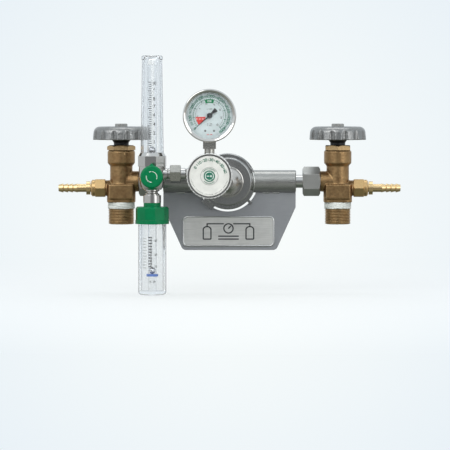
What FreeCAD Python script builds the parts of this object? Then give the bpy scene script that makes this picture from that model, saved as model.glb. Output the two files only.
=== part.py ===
import FreeCAD, Part
import math
import os

import Sketcher
from FreeCAD import Placement, Rotation, Vector

# A two-cylinder oxygen manifold: a crossbar with its regulator, gauge and flowmeter, hung
# between two brass cylinder valves. Millimetres. The origin is where the crossbar's axis meets
# the middle plane between the valves: +X runs to the right valve, -Y to the viewer, +Z up.

SIZES = {
    # crossbar
    "valve_spacing": 253.0,
    "crossbar_diameter": 26.3,
    "crossbar_wall": 2.6,
    "crossbar_length": 155.2,
    "crossbar_edge": 0.8,
    "gland_diameter": 15.5,
    "gland_plug_length": 9.0,
    "gland_nose": 1.5,
    "inlet_nut_flats": 29.8,
    "inlet_nut_length": 20.6,
    "inlet_thread_diameter": 18.4,
    "inlet_thread_length": 8.0,
    # support plate and name plate
    "plate_width": 154.7,
    "plate_thickness": 3.0,
    "plate_top": 10.5,
    "plate_side_bottom": 30.3,
    "plate_foot_width": 109.2,
    "plate_bottom": 80.4,
    "plate_corner": 6.0,
    "scallop_gap": 2.6,
    "name_plate_width": 107.4,
    "name_plate_height": 35.8,
    "name_plate_thickness": 1.2,
    "name_plate_corner": 5.5,
    "name_plate_drop": 58.5,
    "name_plate_shift": -1.2,
    # drum of the first stage
    "drum_shift": -2.0,
    "drum_diameter": 65.4,
    "drum_depth": 18.0,
    "drum_back_diameter": 58.0,
    "drum_back_depth": 8.0,
    "drum_edge": 1.0,
    "socket_depth": 5.0,
    "shoulder_diameter": 56.0,
    "shoulder_depth": 5.0,
    "chamber_diameter": 40.0,
    "chamber_depth": 10.0,
    "notch_width": 8.0,
    "notch_depth": 1.8,
    "notch_length": 6.0,
    "notch_count": 4.0,
    "lug_reach": 5.0,
    "narrow_lug_width": 3.4,
    "wide_lug_width": 15.0,
    "rear_cap_flats": 32.0,
    "rear_cap_height": 6.0,
    "ring_thickness": 4.5,
    "ring_chamfer": 1.3,
    "ring_opening": 30.0,
    "diaphragm_diameter": 46.0,
    "diaphragm_thickness": 0.8,
    # control housing: bell and second stage
    "bell_flange_diameter": 36.4,
    "bell_flange_thickness": 2.5,
    "bell_diameter": 34.0,
    "bell_length": 32.5,
    "bell_neck": 4.5,
    "bell_nose_diameter": 13.0,
    "bell_curve": 32.0,
    "bell_bore": 23.0,
    "bell_bore_depth": 14.0,
    "spring_diameter": 20.0,
    "spring_wire": 2.4,
    "spring_turns": 3.0,
    "control_x": -23.2,
    "control_z": 8.4,
    "barrel_diameter": 32.0,
    "barrel_start": 26.0,
    "barrel_front": 60.0,
    "screw_diameter": 10.0,
    "screw_bore_depth": 20.0,
    "branch_depth": 42.0,
    "gauge_boss_diameter": 17.0,
    "gauge_boss_top": 31.0,
    "outlet_z": 9.8,
    "outlet_boss_diameter": 17.0,
    "outlet_boss_end": 44.0,
    # pressure knob
    "knob_diameter": 52.6,
    "knob_back": 57.0,
    "knob_front": 80.0,
    "knob_edge": 0.6,
    "knob_rim": 1.3,
    "knob_recess": 3.0,
    "knob_face_diameter": 47.0,
    "knob_face_thickness": 2.6,
    "knob_face_dish": 0.8,
    "knob_cavity_diameter": 45.0,
    "knob_cavity_depth": 8.0,
    "knob_hub_diameter": 18.0,
    "knob_hub_length": 3.6,
    "knurl_count": 36.0,
    "knurl_depth": 0.9,
    "knurl_width": 2.2,
    # pressure gauge
    "gauge_z": 77.4,
    "gauge_case_diameter": 59.0,
    "gauge_back": 30.0,
    "gauge_front": 59.5,
    "gauge_wall": 1.5,
    "gauge_case_corner": 2.1,
    "bezel_wall": 1.4,
    "bezel_depth": 10.0,
    "bezel_crown": 0.8,
    "bezel_slope_width": 2.6,
    "bezel_slope_depth": 2.6,
    "lens_thickness": 1.6,
    "dial_depth": 5.4,
    "dial_thickness": 0.8,
    "pointer_length": 24.4,
    "pointer_tail": 10.5,
    "pointer_width": 1.7,
    "pointer_thickness": 0.7,
    "pointer_hub": 6.2,
    "pointer_rise": 1.2,
    "arbor_diameter": 2.4,
    "arbor_length": 5.0,
    "socket_flats": 15.0,
    "socket_square_bottom": 38.9,
    "socket_neck_diameter": 11.8,
    "bourdon_radius": 19.0,
    "bourdon_width": 2.4,
    "bourdon_height": 7.0,
    # outlet to the flowmeter
    "nipple_diameter": 14.0,
    "nipple_groove": 1.0,
    "union_start": 56.3,
    "union_length": 12.8,
    "union_flats": 19.0,
    # flowmeter
    "flow_x": -89.5,
    "flow_body_diameter": 30.6,
    "flow_body_foot": 25.0,
    "flow_body_chamfer": 2.0,
    "flow_body_chamfer_height": 2.5,
    "flow_body_top": 18.6,
    "flow_body_bottom": -8.3,
    "flow_inlet_diameter": 17.5,
    "flow_inlet_reach": 15.6,
    "collar_flats": 31.4,
    "collar_side_top": 30.7,
    "collar_top": 34.4,
    "cover_foot_diameter": 26.7,
    "cover_head_diameter": 23.3,
    "cover_wall": 2.2,
    "cover_top": 146.8,
    "cover_dome": 2.6,
    "cover_rim": 0.7,
    "cover_rim_height": 5.0,
    "metering_diameter": 11.2,
    "metering_bore": 9.2,
    "metering_top": 136.0,
    "ball_diameter": 8.4,
    "ball_rest": 37.7,
    "plug_diameter": 13.0,
    "plug_height": 5.0,
    "plug_taper": 1.0,
    "needle_z": 7.3,
    "needle_boss_diameter": 18.0,
    "needle_boss_reach": 16.5,
    "needle_bonnet_flats": 15.0,
    "needle_bonnet_length": 4.0,
    "needle_diameter": 5.0,
    "needle_depth": 9.0,
    "flow_knob_diameter": 26.2,
    "flow_knob_length": 12.0,
    "flow_knob_shoulder": 2.4,
    "flow_knob_cap": 2.8,
    "flow_pointer_width": 11.0,
    "flow_pointer_rise": 2.6,
    "flow_tail_width": 8.0,
    "flow_tail_rise": 1.7,
    # outlet stem and cap nut
    "stem_ring_diameter": 17.0,
    "stem_waist_diameter": 13.0,
    "stem_block_top": -14.7,
    "stem_block_diameter": 20.6,
    "stem_block_bottom": -23.5,
    "stem_tail_diameter": 8.4,
    "stem_tail_length": 10.5,
    "cap_neck_diameter": 20.0,
    "cap_top": -28.0,
    "cap_bottom": -47.9,
    "cap_flats": 36.8,
    "cap_relief": 1.0,
    "cap_flange_diameter": 39.2,
    "cap_flange_height": 4.4,
    "cap_ceiling": 3.0,
    "cap_grip": 12.0,
    # lower flow tube
    "lower_diameter": 32.5,
    "lower_wall": 3.2,
    "lower_bottom": -130.0,
    "lower_floor": 4.4,
    "lower_corner": 3.5,
    "lower_metering_diameter": 9.8,
    "lower_metering_bore": 8.6,
    "lower_ball_diameter": 8.0,
    "lower_seat_top": -106.0,
    "lower_seat_diameter": 13.8,
    "lower_seat_thickness": 2.7,
    # cylinder valves
    "thread_diameter": 30.4,
    "thread_end": -50.0,
    "tape_thickness": 0.7,
    "tape_length": 7.5,
    "tape_gap": 0.3,
    "thread_relief": 0.2,
    "block_width": 33.0,
    "block_depth": 30.0,
    "block_bottom": -24.2,
    "block_top": -3.2,
    "block_corner": 8.0,
    "panel_width": 28.2,
    "panel_height": 17.0,
    "panel_rise": 1.5,
    "panel_corner": 1.6,
    "column_diameter": 26.2,
    "head_diameter": 32.0,
    "head_bottom": 21.6,
    "head_top": 36.6,
    "head_taper": 3.4,
    "head_chamfer": 1.6,
    "bonnet_nut_flats": 28.6,
    "bonnet_nut_height": 5.6,
    "inlet_boss_reach": 20.5,
    "spindle_diameter": 9.0,
    "spindle_foot": -4.0,
    "spindle_step_diameter": 17.5,
    "spindle_step_height": 2.8,
    "spindle_cup_diameter": 22.3,
    "spindle_cup_height": 3.4,
    "spindle_top": 1.5,
    "wheel_diameter": 66.6,
    "wheel_height": 15.3,
    "wheel_shoulder": 7.5,
    "wheel_lobes": 14.0,
    "wheel_flute": 5.0,
    "wheel_flute_depth": 2.0,
    "wheel_edge": 0.8,
    "wheel_hub_diameter": 24.0,
    "wheel_rim": 6.0,
    "wheel_hollow": 5.0,
    "wheel_nut_flats": 12.6,
    "wheel_nut_height": 3.5,
    "boss_diameter": 24.0,
    "outlet_drop": -7.8,
    "hose_boss_diameter": 18.2,
    "hose_boss_end": 22.5,
    "connector_start": 18.5,
    "connector_length": 12.2,
    "connector_flats": 20.4,
    "connector_shoulder": 19.4,
    "connector_shoulder_length": 4.6,
    "connector_chamfer": 1.6,
    "barb_flange_diameter": 17.0,
    "barb_flange_thickness": 2.0,
    "barb_ring_diameter": 15.6,
    "barb_ring_start": 36.2,
    "barb_ring_width": 4.6,
    "barb_diameter": 10.2,
    "barb_root": 7.8,
    "barb_neck": 9.4,
    "barb_end": 73.3,
    "barb_pitch": 5.6,
    "barb_count": 4.0,
    "barb_land": 0.8,
    "barb_bore": 5.0,
    "barb_bore_depth": 14.0,
    "safety_flats": 14.0,
    "safety_length": 6.0,
    "safety_z": -13.0,
    # clearances
    "running_gap": 0.05,
    "free_gap": 0.3,
}

# A polygon's corner distance for each millimetre of half its width across flats.
HEX_CORNER = 1 / math.cos(math.pi / 6)
OCTAGON_CORNER = 1 / math.cos(math.pi / 8)
DECAGON_CORNER = 1 / math.cos(math.pi / 10)
# How far a 30 degree chamfer drops for each millimetre that it goes in, and where it starts as a
# share of the distance to the flats.
CHAMFER_SLOPE = math.tan(math.pi / 6)
CHAMFER_START = 0.97
# A cut runs past the corner of its stock by this factor.
CLEAR = 1.2

# Counts of facets, and directions in degrees anticlockwise from a piece's local x axis.
NOTCH_ANGLE = -53
NARROW_LUG_ANGLE = -43
WIDE_LUG_ANGLE = -131
ZERO_ANGLE = 221.7
COLLAR_TURN = 17
CAP_SIDES = 10
CAP_TURN = 29
UNION_TURN = 102.6
BOURDON_SWEEP = 250

# How a piece's own z axis points once it is in place.
UPRIGHT = Rotation()
TO_VIEWER = Rotation(Vector(1, 0, 0), 90)
TO_BACK = Rotation(Vector(1, 0, 0), -90)
TO_RIGHT = Rotation(Vector(0, 1, 0), 90)
TO_LEFT = Rotation(Vector(0, 1, 0), -90)
HALF_TURN = Rotation(Vector(0, 0, 1), 180)

doc = FreeCAD.newDocument("oxygen_manifold")
sheet = doc.addObject("Spreadsheet::Sheet", "Sizes")
sub_parts = []


class Size:
    """A length or count with its value and the expression that ties it to the sheet."""

    def __init__(self, value, text):
        self.value = float(value)
        self.text = text

    def __add__(self, other):
        other = as_size(other)
        return Size(self.value + other.value, f"({self.text} + {other.text})")

    def __radd__(self, other):
        return as_size(other) + self

    def __sub__(self, other):
        other = as_size(other)
        return Size(self.value - other.value, f"({self.text} - {other.text})")

    def __rsub__(self, other):
        return as_size(other) - self

    def __mul__(self, other):
        other = as_size(other)
        return Size(self.value * other.value, f"({self.text} * {other.text})")

    def __rmul__(self, other):
        return as_size(other) * self

    def __truediv__(self, other):
        other = as_size(other)
        return Size(self.value / other.value, f"({self.text} / {other.text})")

    def __neg__(self):
        return Size(-self.value, f"(0 - {self.text})")


def as_size(value):
    """A plain number joins in as a constant."""
    if isinstance(value, Size):
        return value
    return Size(value, f"{float(value):.9f}")


class Dimensions:
    """Every driving dimension as an attribute, tied to its cell."""


def fill_sheet():
    sizes = Dimensions()
    for row, (name, value) in enumerate(SIZES.items(), start=1):
        sheet.set(f"A{row}", name)
        sheet.set(f"B{row}", str(value))
        sheet.setAlias(f"B{row}", name)
        setattr(sizes, name, Size(value, f"Sizes.{name}"))
    doc.recompute()
    return sizes


class Arc:
    """An arc of a given radius between two corners of an outline; side 1 bulges to the left."""

    def __init__(self, radius, side=1):
        self.radius = as_size(radius)
        self.side = side


class Circle:
    """A full circle in a sketch."""

    def __init__(self, diameter, x=0, y=0):
        self.radius = as_size(diameter) / 2
        self.x = as_size(x)
        self.y = as_size(y)


def tie(sketch, constraint, size):
    """Adds a constraint and binds its value to the sheet."""
    index = sketch.addConstraint(constraint)
    sketch.setExpression(f"Constraints[{index}]", size.text)


def place_point(sketch, geometry, end, x, y):
    """Holds one point of a sketch at x, y from the sketch's origin."""
    for name, size, axis in (("DistanceX", x, -2), ("DistanceY", y, -1)):
        if abs(size.value) < 1e-9:
            sketch.addConstraint(Sketcher.Constraint("PointOnObject", geometry, end, axis))
        else:
            limit = Sketcher.Constraint(name, -1, 1, geometry, end, size.value)
            tie(sketch, limit, size)


def draw_circle(sketch, circle):
    centre = Vector(circle.x.value, circle.y.value, 0)
    ring = Part.Circle(centre, Vector(0, 0, 1), circle.radius.value)
    index = sketch.addGeometry(ring, False)
    tie(sketch, Sketcher.Constraint("Radius", index, circle.radius.value), circle.radius)
    place_point(sketch, index, 3, circle.x, circle.y)


def arc_geometry(start, end, arc):
    """The arc that joins two points and bulges as asked, always drawn anticlockwise."""
    middle = (start + end) * 0.5
    chord = end - start
    half = chord.Length / 2
    across = Vector(-chord.y, chord.x, 0).normalize()
    rise = math.sqrt(max(arc.radius.value**2 - half**2, 0))
    centre = middle - across * rise * arc.side
    crown = centre + across * arc.radius.value * arc.side
    return Part.Arc(end, crown, start) if arc.side > 0 else Part.Arc(start, crown, end)


def draw_outline(sketch, outline):
    """A closed outline: corners as (x, y), with an Arc between two corners that it joins."""
    corners = []
    arcs = {}
    for item in outline:
        if isinstance(item, Arc):
            arcs[len(corners) - 1] = item
        else:
            corners.append((as_size(item[0]), as_size(item[1])))
    points = [Vector(x.value, y.value, 0) for x, y in corners]
    edges = []
    for i, start in enumerate(points):
        end = points[(i + 1) % len(points)]
        shape = arc_geometry(start, end, arcs[i]) if i in arcs else Part.LineSegment(start, end)
        edges.append(sketch.addGeometry(shape, False))
    first = {}
    last = {}
    for i, edge in enumerate(edges):
        curve = sketch.Geometry[edge]
        forward = (curve.StartPoint - points[i]).Length < 1e-6
        first[i], last[i] = (1, 2) if forward else (2, 1)
    for i, edge in enumerate(edges):
        after = (i + 1) % len(edges)
        meet = Sketcher.Constraint("Coincident", edge, last[i], edges[after], first[after])
        sketch.addConstraint(meet)
        place_point(sketch, edge, first[i], *corners[i])
        if i in arcs:
            radius = arcs[i].radius
            tie(sketch, Sketcher.Constraint("Radius", edge, radius.value), radius)


def polygon(sides, corner, x=0, y=0, start=0.0):
    """A regular polygon's corners, the first at start degrees."""
    corners = []
    for i in range(sides):
        angle = math.radians(start + 360 * i / sides)
        corners.append((corner * math.cos(angle) + x, corner * math.sin(angle) + y))
    return corners


def rectangle(width, height, x=0, y=0):
    half_w = as_size(width) / 2
    half_h = as_size(height) / 2
    return [
        (x - half_w, y - half_h),
        (x + half_w, y - half_h),
        (x + half_w, y + half_h),
        (x - half_w, y + half_h),
    ]


def rounded_rectangle(width, height, radius, x=0, y=0):
    half_w = as_size(width) / 2
    half_h = as_size(height) / 2
    radius = as_size(radius)
    corner = Arc(radius, -1)
    return [
        (x - half_w + radius, y - half_h),
        (x + half_w - radius, y - half_h),
        corner,
        (x + half_w, y - half_h + radius),
        (x + half_w, y + half_h - radius),
        corner,
        (x + half_w - radius, y + half_h),
        (x - half_w + radius, y + half_h),
        corner,
        (x - half_w, y + half_h - radius),
        (x - half_w, y - half_h + radius),
        corner,
    ]


def set_place(item, x, y, z, turned):
    """Puts a sub-part in place, with each coordinate tied to the sheet."""
    spot = [as_size(x), as_size(y), as_size(z)]
    item.Placement = Placement(Vector(*[size.value for size in spot]), turned)
    for axis, size in zip("xyz", spot):
        if "Sizes" in size.text:
            item.setExpression(f"Placement.Base.{axis}", size.text)


class Piece:
    """One sub-part: a body whose features are added in order and whose sizes follow the sheet."""

    def __init__(self, label, x=0, y=0, z=0, turned=UPRIGHT):
        self.label = label
        self.body = doc.addObject("PartDesign::Body", label)
        self.body.Label = label
        set_place(self.body, x, y, z, turned)
        self.features = 0
        sub_parts.append(self.body)

    def plane(self, role):
        for item in self.body.Origin.OriginFeatures:
            if item.Role == role:
                return item
        raise ValueError(role)

    def sketch(self, role, outlines, start=0):
        self.features += 1
        name = f"{self.label}_sketch_{self.features}"
        sketch = self.body.newObject("Sketcher::SketchObject", name)
        sketch.AttachmentSupport = [(self.plane(role), "")]
        sketch.MapMode = "FlatFace"
        start = as_size(start)
        sketch.AttachmentOffset = Placement(Vector(0, 0, start.value), Rotation())
        if "Sizes" in start.text:
            sketch.setExpression("AttachmentOffset.Base.z", start.text)
        for outline in outlines:
            if isinstance(outline, Circle):
                draw_circle(sketch, outline)
            else:
                draw_outline(sketch, outline)
        return sketch

    def feature(self, kind, sketch):
        feature = self.body.newObject(f"PartDesign::{kind}", f"{self.label}_{kind}_{self.features}")
        feature.Profile = sketch
        self.body.Tip = feature
        return feature

    def revolve(self, outline):
        """Adds the solid that an outline in the xz plane sweeps round the z axis."""
        sketch = self.sketch("XZ_Plane", [outline])
        feature = self.feature("Revolution", sketch)
        feature.ReferenceAxis = (sketch, ["V_Axis"])
        feature.Angle = 360
        return feature

    def groove(self, outline):
        """Cuts what an outline in the xz plane sweeps round the z axis."""
        sketch = self.sketch("XZ_Plane", [outline])
        feature = self.feature("Groove", sketch)
        feature.ReferenceAxis = (sketch, ["V_Axis"])
        feature.Angle = 360
        return feature

    def pad(self, role, outlines, start, length, both=False, reverse=False):
        """Adds a prism; start is the sketch's distance from the plane, along its normal."""
        sketch = self.sketch(role, outlines, start)
        feature = self.feature("Pad", sketch)
        self.run(feature, length, both, reverse)
        return feature

    def pocket(self, role, outlines, start, length, both=False, reverse=False):
        """Cuts a prism, against the plane's normal unless it is reversed."""
        sketch = self.sketch(role, outlines, start)
        feature = self.feature("Pocket", sketch)
        self.run(feature, length, both, reverse)
        return feature

    def run(self, feature, length, both, reverse):
        length = as_size(length)
        feature.Type = 0
        feature.Length = length.value
        feature.setExpression("Length", length.text)
        feature.SideType = 2 if both else 0
        feature.Reversed = reverse

    def repeat(self, feature, count, role="Z_Axis"):
        """Repeats a feature round one of the body's axes."""
        pattern = self.body.newObject("PartDesign::PolarPattern", f"{self.label}_pattern")
        pattern.Originals = [feature]
        pattern.Axis = (self.plane(role), [""])
        pattern.Angle = 360
        pattern.Occurrences = int(count.value)
        pattern.setExpression("Occurrences", count.text)
        self.body.Tip = pattern
        return pattern


def chamfered_prism(piece, sides, flats, corner_ratio, start, end, turn, first=True, last=True):
    """A hexagon or octagon bar along z with its corners turned off at 30 degrees at its ends."""
    corner = flats / 2 * corner_ratio
    length = end - start
    piece.pad("XY_Plane", [polygon(sides, corner, start=turn)], start, length)
    reach = corner * CLEAR
    inner = flats / 2 * CHAMFER_START
    drop = (reach - inner) * CHAMFER_SLOPE
    if first:
        piece.groove([(inner, start), (reach, start), (reach, start + drop)])
    if last:
        piece.groove([(inner, end), (reach, end), (reach, end - drop)])


def turned_points(points, degrees):
    """The same corners, turned about the sketch's origin."""
    cosine = math.cos(math.radians(degrees))
    sine = math.sin(math.radians(degrees))
    return [
        (as_size(x) * cosine - as_size(y) * sine, as_size(x) * sine + as_size(y) * cosine)
        for x, y in points
    ]


def round_edges(piece, radius, wanted):
    """Fillets the edges of a piece whose two ends both pass the test."""
    doc.recompute()
    tip = piece.body.Tip
    names = []
    for i, edge in enumerate(tip.Shape.Edges, start=1):
        ends = [vertex.Point for vertex in edge.Vertexes]
        if len(ends) == 2 and wanted(*ends):
            names.append(f"Edge{i}")
    fillet = piece.body.newObject("PartDesign::Fillet", f"{piece.label}_fillet")
    fillet.Base = (tip, names)
    fillet.Radius = radius.value
    fillet.setExpression("Radius", radius.text)
    piece.body.Tip = fillet
    return fillet


def build_crossbar(d, side, name):
    """One half of the crossbar, its end gland and the hexagon nut that holds it to a valve."""
    turned = TO_RIGHT if side > 0 else TO_LEFT
    end = d.crossbar_length / 2
    outside = d.crossbar_diameter / 2
    inside = outside - d.crossbar_wall
    gland = d.gland_diameter / 2
    thread = d.inlet_thread_diameter / 2
    boss_face = d.valve_spacing / 2 - d.inlet_boss_reach
    drum_end = d.drum_shift * side + d.shoulder_diameter / 2 - d.socket_depth

    tube = Piece(f"crossbar_tube_{name}", turned=turned)
    tube.revolve([
        (inside, drum_end),
        (outside, drum_end),
        (outside, end - d.crossbar_edge),
        (outside - d.crossbar_edge, end),
        (inside, end),
    ])

    nose = boss_face + d.inlet_thread_length - d.gland_nose
    piece = Piece(f"end_gland_{name}", turned=turned)
    piece.revolve([
        (0, end - d.gland_plug_length),
        (inside, end - d.gland_plug_length),
        (inside, end),
        (gland, end),
        (gland, nose),
        (gland - d.gland_nose, nose + d.gland_nose),
        (0, nose + d.gland_nose),
    ])

    nut = Piece(f"inlet_nut_{name}", turned=turned)
    start = boss_face - d.inlet_nut_length
    chamfered_prism(nut, 6, d.inlet_nut_flats, HEX_CORNER, start, boss_face, 0)
    spigot = boss_face + d.inlet_thread_length
    nut.pad("XY_Plane", [Circle(d.inlet_thread_diameter)], boss_face, d.inlet_thread_length)
    bore = gland + d.running_gap
    nut.groove([(0, start), (bore, start), (bore, spigot), (0, spigot)])


def build_support_plate(d):
    """The welded bracket under the crossbar, with a round scallop that clears the drum."""
    half = d.plate_width / 2
    foot = d.plate_foot_width / 2
    plate = Piece("support_plate", turned=TO_VIEWER)
    outline = [
        (-half, -d.plate_top),
        (-half, -d.plate_side_bottom),
        (-foot, -d.plate_bottom),
        (foot, -d.plate_bottom),
        (half, -d.plate_side_bottom),
        (half, -d.plate_top),
    ]
    plate.pad("XY_Plane", [outline], 0, d.plate_thickness, both=True)
    through = d.plate_thickness * 4
    scallop = Circle(d.drum_diameter + 2 * d.scallop_gap, x=d.drum_shift)
    plate.pocket("XY_Plane", [scallop], 0, through, both=True)
    plate.pocket("YZ_Plane", [Circle(d.crossbar_diameter)], 0, d.plate_width * 2, both=True)
    low = -d.plate_bottom.value + 0.1
    round_edges(
        plate, d.plate_corner, lambda a, b: a.y < low and b.y < low and abs(a.x - b.x) < 0.1
    )

    label = Piece("name_plate", x=d.name_plate_shift, z=-d.name_plate_drop, turned=TO_VIEWER)
    blank = rounded_rectangle(d.name_plate_width, d.name_plate_height, d.name_plate_corner)
    label.pad("XY_Plane", [blank], d.plate_thickness / 2, d.name_plate_thickness)


def build_drum(d):
    """The first stage: a round body on the crossbar, its rear cap, diaphragm and clamp ring."""
    half = d.drum_depth / 2
    radius = d.drum_diameter / 2
    back = -half - d.drum_back_depth
    shoulder = d.shoulder_diameter / 2
    front = half + d.shoulder_depth
    chamber = d.chamber_diameter / 2
    edge = d.drum_edge

    drum = Piece("drum_body", x=d.drum_shift, turned=TO_VIEWER)
    drum.revolve([
        (0, back),
        (d.drum_back_diameter / 2 - 2 * edge, back),
        (d.drum_back_diameter / 2, back + 2 * edge),
        (d.drum_back_diameter / 2, -half),
        (radius - edge, -half),
        (radius, edge - half),
        (radius, half - edge),
        (radius - edge, half),
        (shoulder, half),
        (shoulder, front),
        (chamber, front),
        (chamber, front - d.chamber_depth),
        (0, front - d.chamber_depth),
    ])
    socket = shoulder - d.socket_depth
    for side in (1, -1):
        start = socket * side
        drum.pocket(
            "YZ_Plane", [Circle(d.crossbar_diameter)], start, radius, reverse=side > 0
        )
    notch = rectangle(d.notch_depth * 2, d.notch_width, x=radius)
    cut = drum.pocket("XY_Plane", [turned_points(notch, NOTCH_ANGLE)], half, d.notch_length)
    drum.repeat(cut, d.notch_count)
    reach = d.lug_reach + 2 * edge
    plate_face = d.plate_thickness / 2
    for width, angle in (
        (d.narrow_lug_width, NARROW_LUG_ANGLE),
        (d.wide_lug_width, WIDE_LUG_ANGLE),
    ):
        lug = turned_points(rectangle(reach, width, x=radius - 2 * edge + reach / 2), angle)
        drum.pad("XY_Plane", [lug], plate_face, half - edge - plate_face)

    cap = Piece("drum_rear_cap", x=d.drum_shift, turned=TO_VIEWER)
    start = back - d.rear_cap_height
    chamfered_prism(cap, 6, d.rear_cap_flats, HEX_CORNER, start, back, 0, last=False)

    ring_front = front + d.ring_thickness
    seat = front + d.diaphragm_thickness
    ring = Piece("bonnet_ring", x=d.drum_shift, turned=TO_VIEWER)
    ring.revolve([
        (d.ring_opening / 2, seat),
        (d.diaphragm_diameter / 2, seat),
        (d.diaphragm_diameter / 2, front),
        (shoulder, front),
        (shoulder, ring_front - d.ring_chamfer),
        (shoulder - d.ring_chamfer, ring_front),
        (d.ring_opening / 2, ring_front),
    ])

    diaphragm = Piece("diaphragm", x=d.drum_shift, turned=TO_VIEWER)
    diaphragm.pad("XY_Plane", [Circle(d.diaphragm_diameter)], front, d.diaphragm_thickness)

    spring = Piece("preset_spring", x=d.drum_shift, turned=TO_VIEWER)
    rise = ring_front + d.bell_bore_depth - seat
    wire = d.spring_wire
    section = rectangle(wire, wire, x=(d.spring_diameter - wire) / 2, y=seat + wire / 2)
    profile = spring.sketch("XZ_Plane", [section])
    coil = spring.feature("AdditiveHelix", profile)
    coil.ReferenceAxis = (profile, ["V_Axis"])
    coil.Mode = 2
    height = rise - wire
    coil.Height = height.value
    coil.setExpression("Height", height.text)
    coil.Turns = d.spring_turns.value
    coil.setExpression("Turns", d.spring_turns.text)


def build_control_housing(d):
    """The bell over the first stage and the second stage's barrel, with its two branches."""
    base = d.drum_depth / 2 + d.shoulder_depth + d.ring_thickness
    flange = d.bell_flange_diameter / 2
    bell = d.bell_diameter / 2
    neck = base + d.bell_flange_thickness
    shift_x = d.control_x - d.drum_shift

    housing = Piece("control_housing", x=d.drum_shift, turned=TO_VIEWER)
    housing.revolve([
        (0, base),
        (flange, base),
        (flange, neck),
        (bell, neck),
        (bell, base + d.bell_neck),
        Arc(d.bell_curve, -1),
        (d.bell_nose_diameter / 2, base + d.bell_length),
        (0, base + d.bell_length),
    ])
    barrel = Circle(d.barrel_diameter, x=shift_x, y=d.control_z)
    housing.pad("XY_Plane", [barrel], d.barrel_start, d.barrel_front - d.barrel_start)
    top = d.gauge_boss_top
    gauge_boss = Circle(d.gauge_boss_diameter, x=shift_x, y=d.branch_depth)
    housing.pad("XZ_Plane", [gauge_boss], -top, top - d.control_z)
    outlet_boss = Circle(d.outlet_boss_diameter, x=d.outlet_z, y=d.branch_depth)
    outlet_end = -d.outlet_boss_end - d.drum_shift
    housing.pad("YZ_Plane", [outlet_boss], outlet_end, shift_x - outlet_end)
    bore = Circle(d.screw_diameter + 2 * d.running_gap, x=shift_x, y=d.control_z)
    housing.pocket("XY_Plane", [bore], d.barrel_front, d.screw_bore_depth)
    spring_end = base + d.bell_bore_depth
    spring_bore = d.bell_bore / 2
    housing.groove([(0, base), (spring_bore, base), (spring_bore, spring_end), (0, spring_end)])


def build_pressure_knob(d):
    """The knurled knob of the second stage with its face disc and adjusting screw."""
    place = {"x": d.control_x, "z": d.control_z, "turned": TO_VIEWER}
    radius = d.knob_diameter / 2
    screw = d.screw_diameter / 2
    floor = d.knob_front - d.knob_recess
    roof = d.knob_back + d.knob_cavity_depth
    hub = roof - d.knob_hub_length
    edge = d.knob_edge

    skirt = Piece("knob_skirt", **place)
    skirt.revolve([
        (screw, hub),
        (d.knob_hub_diameter / 2, hub),
        (d.knob_hub_diameter / 2, roof),
        (d.knob_cavity_diameter / 2, roof),
        (d.knob_cavity_diameter / 2, d.knob_back),
        (radius - edge, d.knob_back),
        (radius, d.knob_back + edge),
        (radius, d.knob_front - edge),
        (radius - edge, d.knob_front),
        (radius - d.knob_rim, d.knob_front),
        (radius - d.knob_rim, floor),
        (screw, floor),
    ])
    vee = [
        (radius + d.knurl_depth, -d.knurl_width),
        (radius + d.knurl_depth, d.knurl_width),
        (radius - d.knurl_depth, 0),
    ]
    cut = skirt.pocket("XY_Plane", [vee], d.knob_front, d.knob_front - d.knob_back)
    skirt.repeat(cut, d.knurl_count)

    face = Piece("knob_face", **place)
    rim = d.knob_face_diameter / 2
    front = floor + d.knob_face_thickness
    face.revolve([
        (0, floor),
        (rim, floor),
        (rim, front - edge),
        (rim - edge, front),
        (rim - 3 * d.knob_face_dish, front),
        (0, front - d.knob_face_dish),
    ])

    stem = Piece("adjusting_screw", **place)
    foot = d.barrel_front - d.screw_bore_depth + d.free_gap
    stem.revolve([
        (0, foot),
        (screw - edge, foot),
        (screw, foot + edge),
        (screw, floor),
        (0, floor),
    ])


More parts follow.
